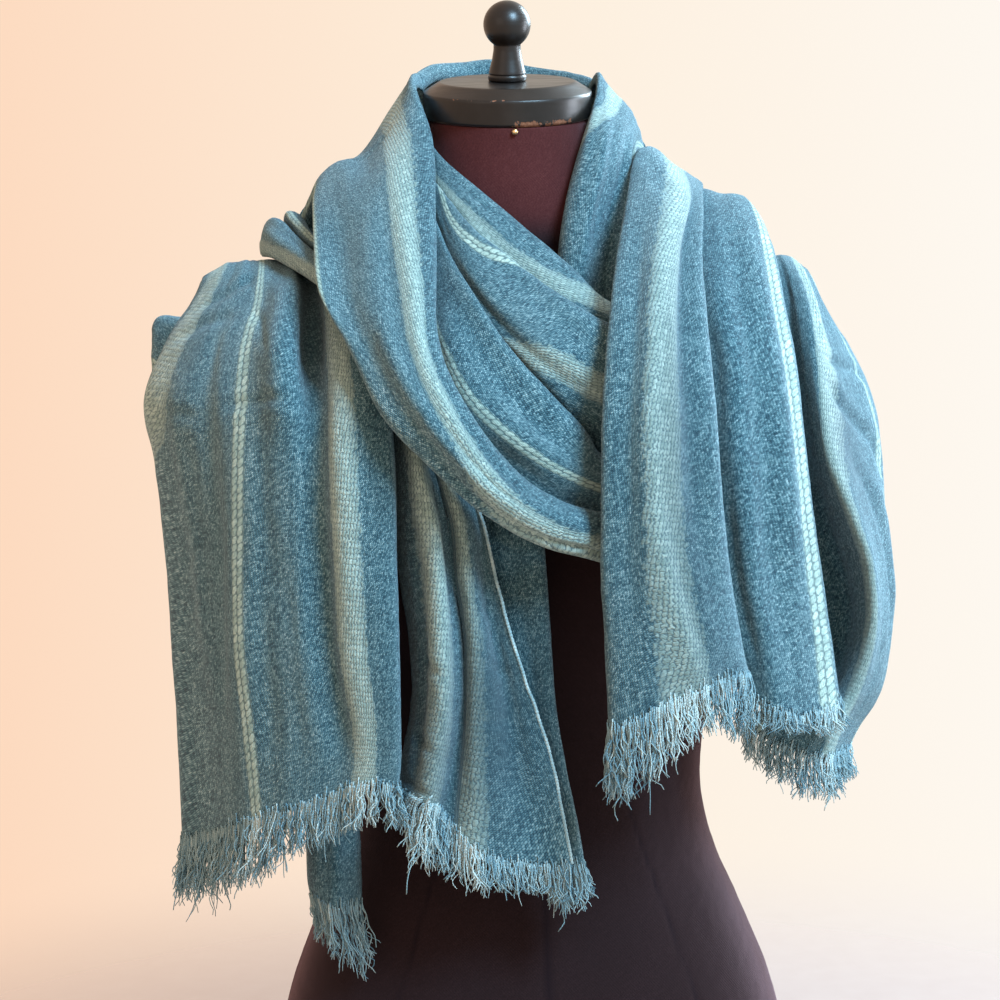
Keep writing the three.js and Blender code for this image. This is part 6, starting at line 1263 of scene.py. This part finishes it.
def make_fringe(name, piece):
    spec = FRINGES[name]
    q, u = SHEETS[spec["hem_of"]]
    t = STRETCHES[spec["hem_of"]]
    p = np.array(t["rows"], float)
    tu = knots(p, 1)
    reach = np.array(spec["reach"], float)
    hem, hem_u = q[-1], u[-1]
    su = np.linspace(0, tu[-1], len(hem))
    low = along(reach, tu, su)
    rng = np.random.default_rng(sum(map(ord, name)) + 3)
    arc = np.concatenate([[0], np.cumsum(np.linalg.norm(np.diff(hem, axis=0), axis=1))])
    lines, radii, cloth = [], [], []
    inward = q[-1] - q[-3]
    inward /= np.linalg.norm(inward, axis=1, keepdims=True) + 1e-9
    outward = normals(q)[-3]
    x = 0.5
    tuft = 0
    lean = np.zeros(3)
    while x < arc[-1] - 0.8:
        # yarns gather in tufts of three to seven that lean together
        if tuft == 0:
            tuft = int(rng.integers(6, 15))
            across = np.array([rng.normal(0, 0.07), rng.normal(0, 0.06), 0])
            lean = across
            tuft_len = rng.uniform(0.88, 1.10)
            gather = x + rng.uniform(1.5, 4.0)
            phase = rng.uniform(0, 6.28)
        tuft -= 1
        lean = across + np.array([rng.normal(0, 0.05), rng.normal(0, 0.05), 0])
        at = lambda arr: np.array([np.interp(x, arc, arr[:, k]) for k in range(3)])
        start, end, face = at(hem), at(low), at(inward)
        uu = np.interp(x, arc, hem_u)
        d = end - start
        full = np.linalg.norm(d)
        length = full * tuft_len * rng.uniform(0.78, 1.08)
        if rng.random() < 0.03:
            length *= rng.uniform(1.15, 1.4)
        k = 16
        s = np.linspace(0, 1, k)
        d = d / full
        side = np.cross(d, [0, -1, 0.05])
        side /= np.linalg.norm(side) + 1e-9
        out = np.cross(side, d)
        # the first few millimetres follow the cloth, then the yarn falls and curls
        mix = smooth(s, 0, 0.35)[:, None]
        way = face * (1 - mix) + (d + lean * 0.9) * mix
        way /= np.linalg.norm(way, axis=1, keepdims=True)
        face_out = at(outward)
        start = start - face * abs(rng.normal(1.0, 2.6)) + face_out * (rng.uniform(0.9, 1.7) if rng.random() < 0.7 else -1.2)
        line = start + np.concatenate([[np.zeros(3)], np.cumsum(way[1:] * (length / (k - 1)), axis=0)])
        w = rng.uniform(0.5, 1.7)
        a1, a2 = rng.normal(0, 1.0) * w, rng.normal(0, 0.7) * w
        f1 = length / rng.uniform(13, 26)
        curl = np.sin(2 * np.pi * f1 * s + phase + rng.normal(0, 1.1)) * smooth(s, 0.02, 0.35)
        curl2 = np.sin(2 * np.pi * f1 * 0.8 * s + rng.uniform(0, 6.28)) * smooth(s, 0.05, 0.4)
        line = line + side * (curl * a1)[:, None] + out * (curl2 * a2)[:, None]
        hook = rng.normal(0, 2.6) * smooth(s, 0.6, 1.0) ** 2
        line = line + side * hook[:, None] + (gather - x) * 0.35 * smooth(s, 0.25, 1.0)[:, None] * np.array([1.6, 0, 0]) * (1 if hem[-1, 0] > hem[0, 0] else -1)
        lines.append(line)
        thick = rng.uniform(0.34, 0.56)
        radii.append(thick * (1 - 0.35 * s ** 2))
        tone = np.clip(0.52 + 0.34 * stripe_tone(uu) + rng.normal(0, 0.20), 0, 1)
        cloth.append(np.stack([np.full(k, uu + rng.uniform(0, 90)), s * length, np.full(k, tone)], -1))
        x += rng.uniform(0.20, 0.46)
    ob = tubes(name + "_yarns", lines, radii, cloth, YARN, sides=3)
    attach(ob, "root")
    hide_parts(name)
    return ob


# the firm selvedge along one side of a stretch: (side, radius mm)
SELVEDGES = {"left_inner_end": (-1, 1.05), "left_inner_rear": (-1, 0.75), "right_front_end": (0, 0.75)}


def make_selvedge(name, q, u, v):
    side, radius = SELVEDGES[name]
    edge = q[:, side]
    arc = np.concatenate([[0], np.cumsum(np.linalg.norm(np.diff(edge, axis=0), axis=1))])
    s = np.arange(0.5, arc[-1] - 0.5, 0.8)
    line = np.stack([np.interp(s, arc, edge[:, k]) for k in range(3)], -1)
    twist = radius * (1 + 0.16 * np.sin(s * 2.4 + 1.2 * noise(s / 6, s * 0 + 2, 5)))
    tone = 0.72 + 0.16 * noise(s / 5, s * 0 + 7, 9)
    cloth = np.stack([np.full(len(s), u[0, side]), s, tone], -1)
    ob = tubes(name + "_selvedge", [line], [twist], [cloth], YARN, sides=8)
    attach(ob, "root")
    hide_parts(name)
    return ob


# ---------------------------------------------------------------- build
def build_scarf():
    made = {}
    for name in STRETCHES:
        q, u, v, *_ = stretch_surface(name)
        SHEETS[name] = (q, u)
        SHEETS_FULL[name] = (q, u, v)
        ob = shell(name + "_cloth", q, u, v, CLOTH)
        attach(ob, "root")
        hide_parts(name)
        made[name] = ob
    edge_of = {name: make_selvedge(name, *SHEETS_FULL[name]) for name in SELVEDGES}
    fringe_of = {}
    for name in FRINGES:
        hem = FRINGES[name]["hem_of"]
        fringe_of[hem] = make_fringe(name, made[hem])
    for name, ob in made.items():
        extra = [fringe_of[name]] if name in fringe_of else []
        extra += [edge_of[name]] if name in edge_of else []
    return made


torso = make_torso()
make_hardware()
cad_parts["form_base_plate"].data.materials.clear()
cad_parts["form_base_plate"].data.materials.append(BOARD)
build_scarf()


# ---------------------------------------------------------------- floor, light
def make_stage():
    n = Nodes("floor_pale")
    place = n.add("ShaderNodeTexCoord").outputs["Object"]
    x, y, z = n.split(place)
    far = n.math("SQRT", n.math("ADD", n.math("MULTIPLY", x, x), n.math("MULTIPLY", y, y)))
    grain = n.noise(place, 40.0, 3.0)
    # warmer to the left; darker and greyer to the right, which is painted shade
    colour = n.mix(n.map(x, -0.8, 0.8), (0.40, 0.29, 0.24), (0.31, 0.25, 0.235))
    colour = n.mix(n.math("MULTIPLY", grain, 0.06), colour, (0.8, 0.75, 0.7))
    clear = n.add("ShaderNodeBsdfTransparent")
    mix = n.add("ShaderNodeMixShader")
    n.put(n.bsdf.inputs["Base Color"], colour)
    n.bsdf.inputs["Roughness"].default_value = 0.9
    n.bsdf.inputs["Specular IOR Level"].default_value = 0.1
    n.link(n.map(far, 0.34, 0.95), mix.inputs[0])
    n.link(n.bsdf.outputs[0], mix.inputs[1])
    n.link(clear.outputs[0], mix.inputs[2])
    n.link(mix.outputs[0], n.out.inputs[0])
    me = bpy.data.meshes.new("floor")
    size, rings, count = 1.6, 24, 64
    pts = [(0, 0, 0)]
    for i in range(1, rings + 1):
        for k in range(count):
            a = 2 * math.pi * k / count
            pts.append((size * i / rings * math.cos(a), size * i / rings * math.sin(a), 0))
    f = [[0, 1 + k, 1 + (k + 1) % count] for k in range(count)]
    for i in range(rings - 1):
        for k in range(count):
            a, b = 1 + i * count + k, 1 + i * count + (k + 1) % count
            f.append([a, a + count, b + count, b])
    me.from_pydata([(x, y, -0.0005) for x, y, _ in pts], [], f)
    me.materials.append(n.material)
    floor = bpy.data.objects.new("floor", me)
    bpy.context.scene.collection.objects.link(floor)

    world = bpy.data.worlds.new("studio")
    bpy.context.scene.world = world
    world.use_nodes = True
    t = world.node_tree
    t.nodes.clear()
    out = t.nodes.new("ShaderNodeOutputWorld")
    bg = t.nodes.new("ShaderNodeBackground")
    coord = t.nodes.new("ShaderNodeTexCoord")
    sep = t.nodes.new("ShaderNodeSeparateXYZ")
    rng = t.nodes.new("ShaderNodeMapRange")
    ramp = t.nodes.new("ShaderNodeValToRGB")
    t.links.new(coord.outputs["Generated"], sep.inputs[0])
    t.links.new(sep.outputs[0], rng.inputs[0])
    rng.inputs[1].default_value, rng.inputs[2].default_value = -0.12, 0.36
    t.links.new(rng.outputs[0], ramp.inputs[0])
    el = ramp.color_ramp.elements
    el[0].position, el[0].color = 0.0, (0.98, 0.700, 0.520, 1)
    el[1].position, el[1].color = 1.0, (0.99, 0.955, 0.900, 1)
    mid = el.new(0.5)
    mid.color = (0.985, 0.86, 0.72, 1)
    t.links.new(ramp.outputs[0], bg.inputs[0])
    bg.inputs[1].default_value = WORLD
    t.links.new(bg.outputs[0], out.inputs[0])

    def area(name, place, target, size, power, colour):
        data = bpy.data.lights.new(name, "AREA")
        data.shape = "RECTANGLE"
        data.size, data.size_y = size
        data.energy = power
        data.color = colour
        ob = bpy.data.objects.new(name, data)
        ob.location = place
        d = Vector(target) - Vector(place)
        ob.rotation_mode = "QUATERNION"
        ob.rotation_quaternion = d.to_track_quat("-Z", "Y")
        bpy.context.scene.collection.objects.link(ob)

    for args in LIGHTS:
        area(*args)
    bpy.context.scene.view_settings.view_transform = "Standard"
    bpy.context.scene.view_settings.exposure = 0.0


WORLD = 1.0
LIGHTS = [
    ("key", (0.92, -1.66, 2.02), (0.0, 0.0, 0.50), (0.8, 0.8), 122, (0.45, 0.74, 0.98)),
    ("fill", (-1.6, -1.8, 1.2), (0.0, 0.0, 0.45), (1.4, 1.4), 4, (1.0, 0.86, 0.76)),
    ("rim", (1.5, 1.1, 1.5), (0.1, 0.0, 0.5), (0.8, 1.2), 88, (0.66, 0.87, 1.0)),
    ("side", (2.1, 0.15, 0.60), (0.1, 0.0, 0.35), (0.7, 1.1), 30, (0.80, 0.88, 1.0)),
]
make_stage()
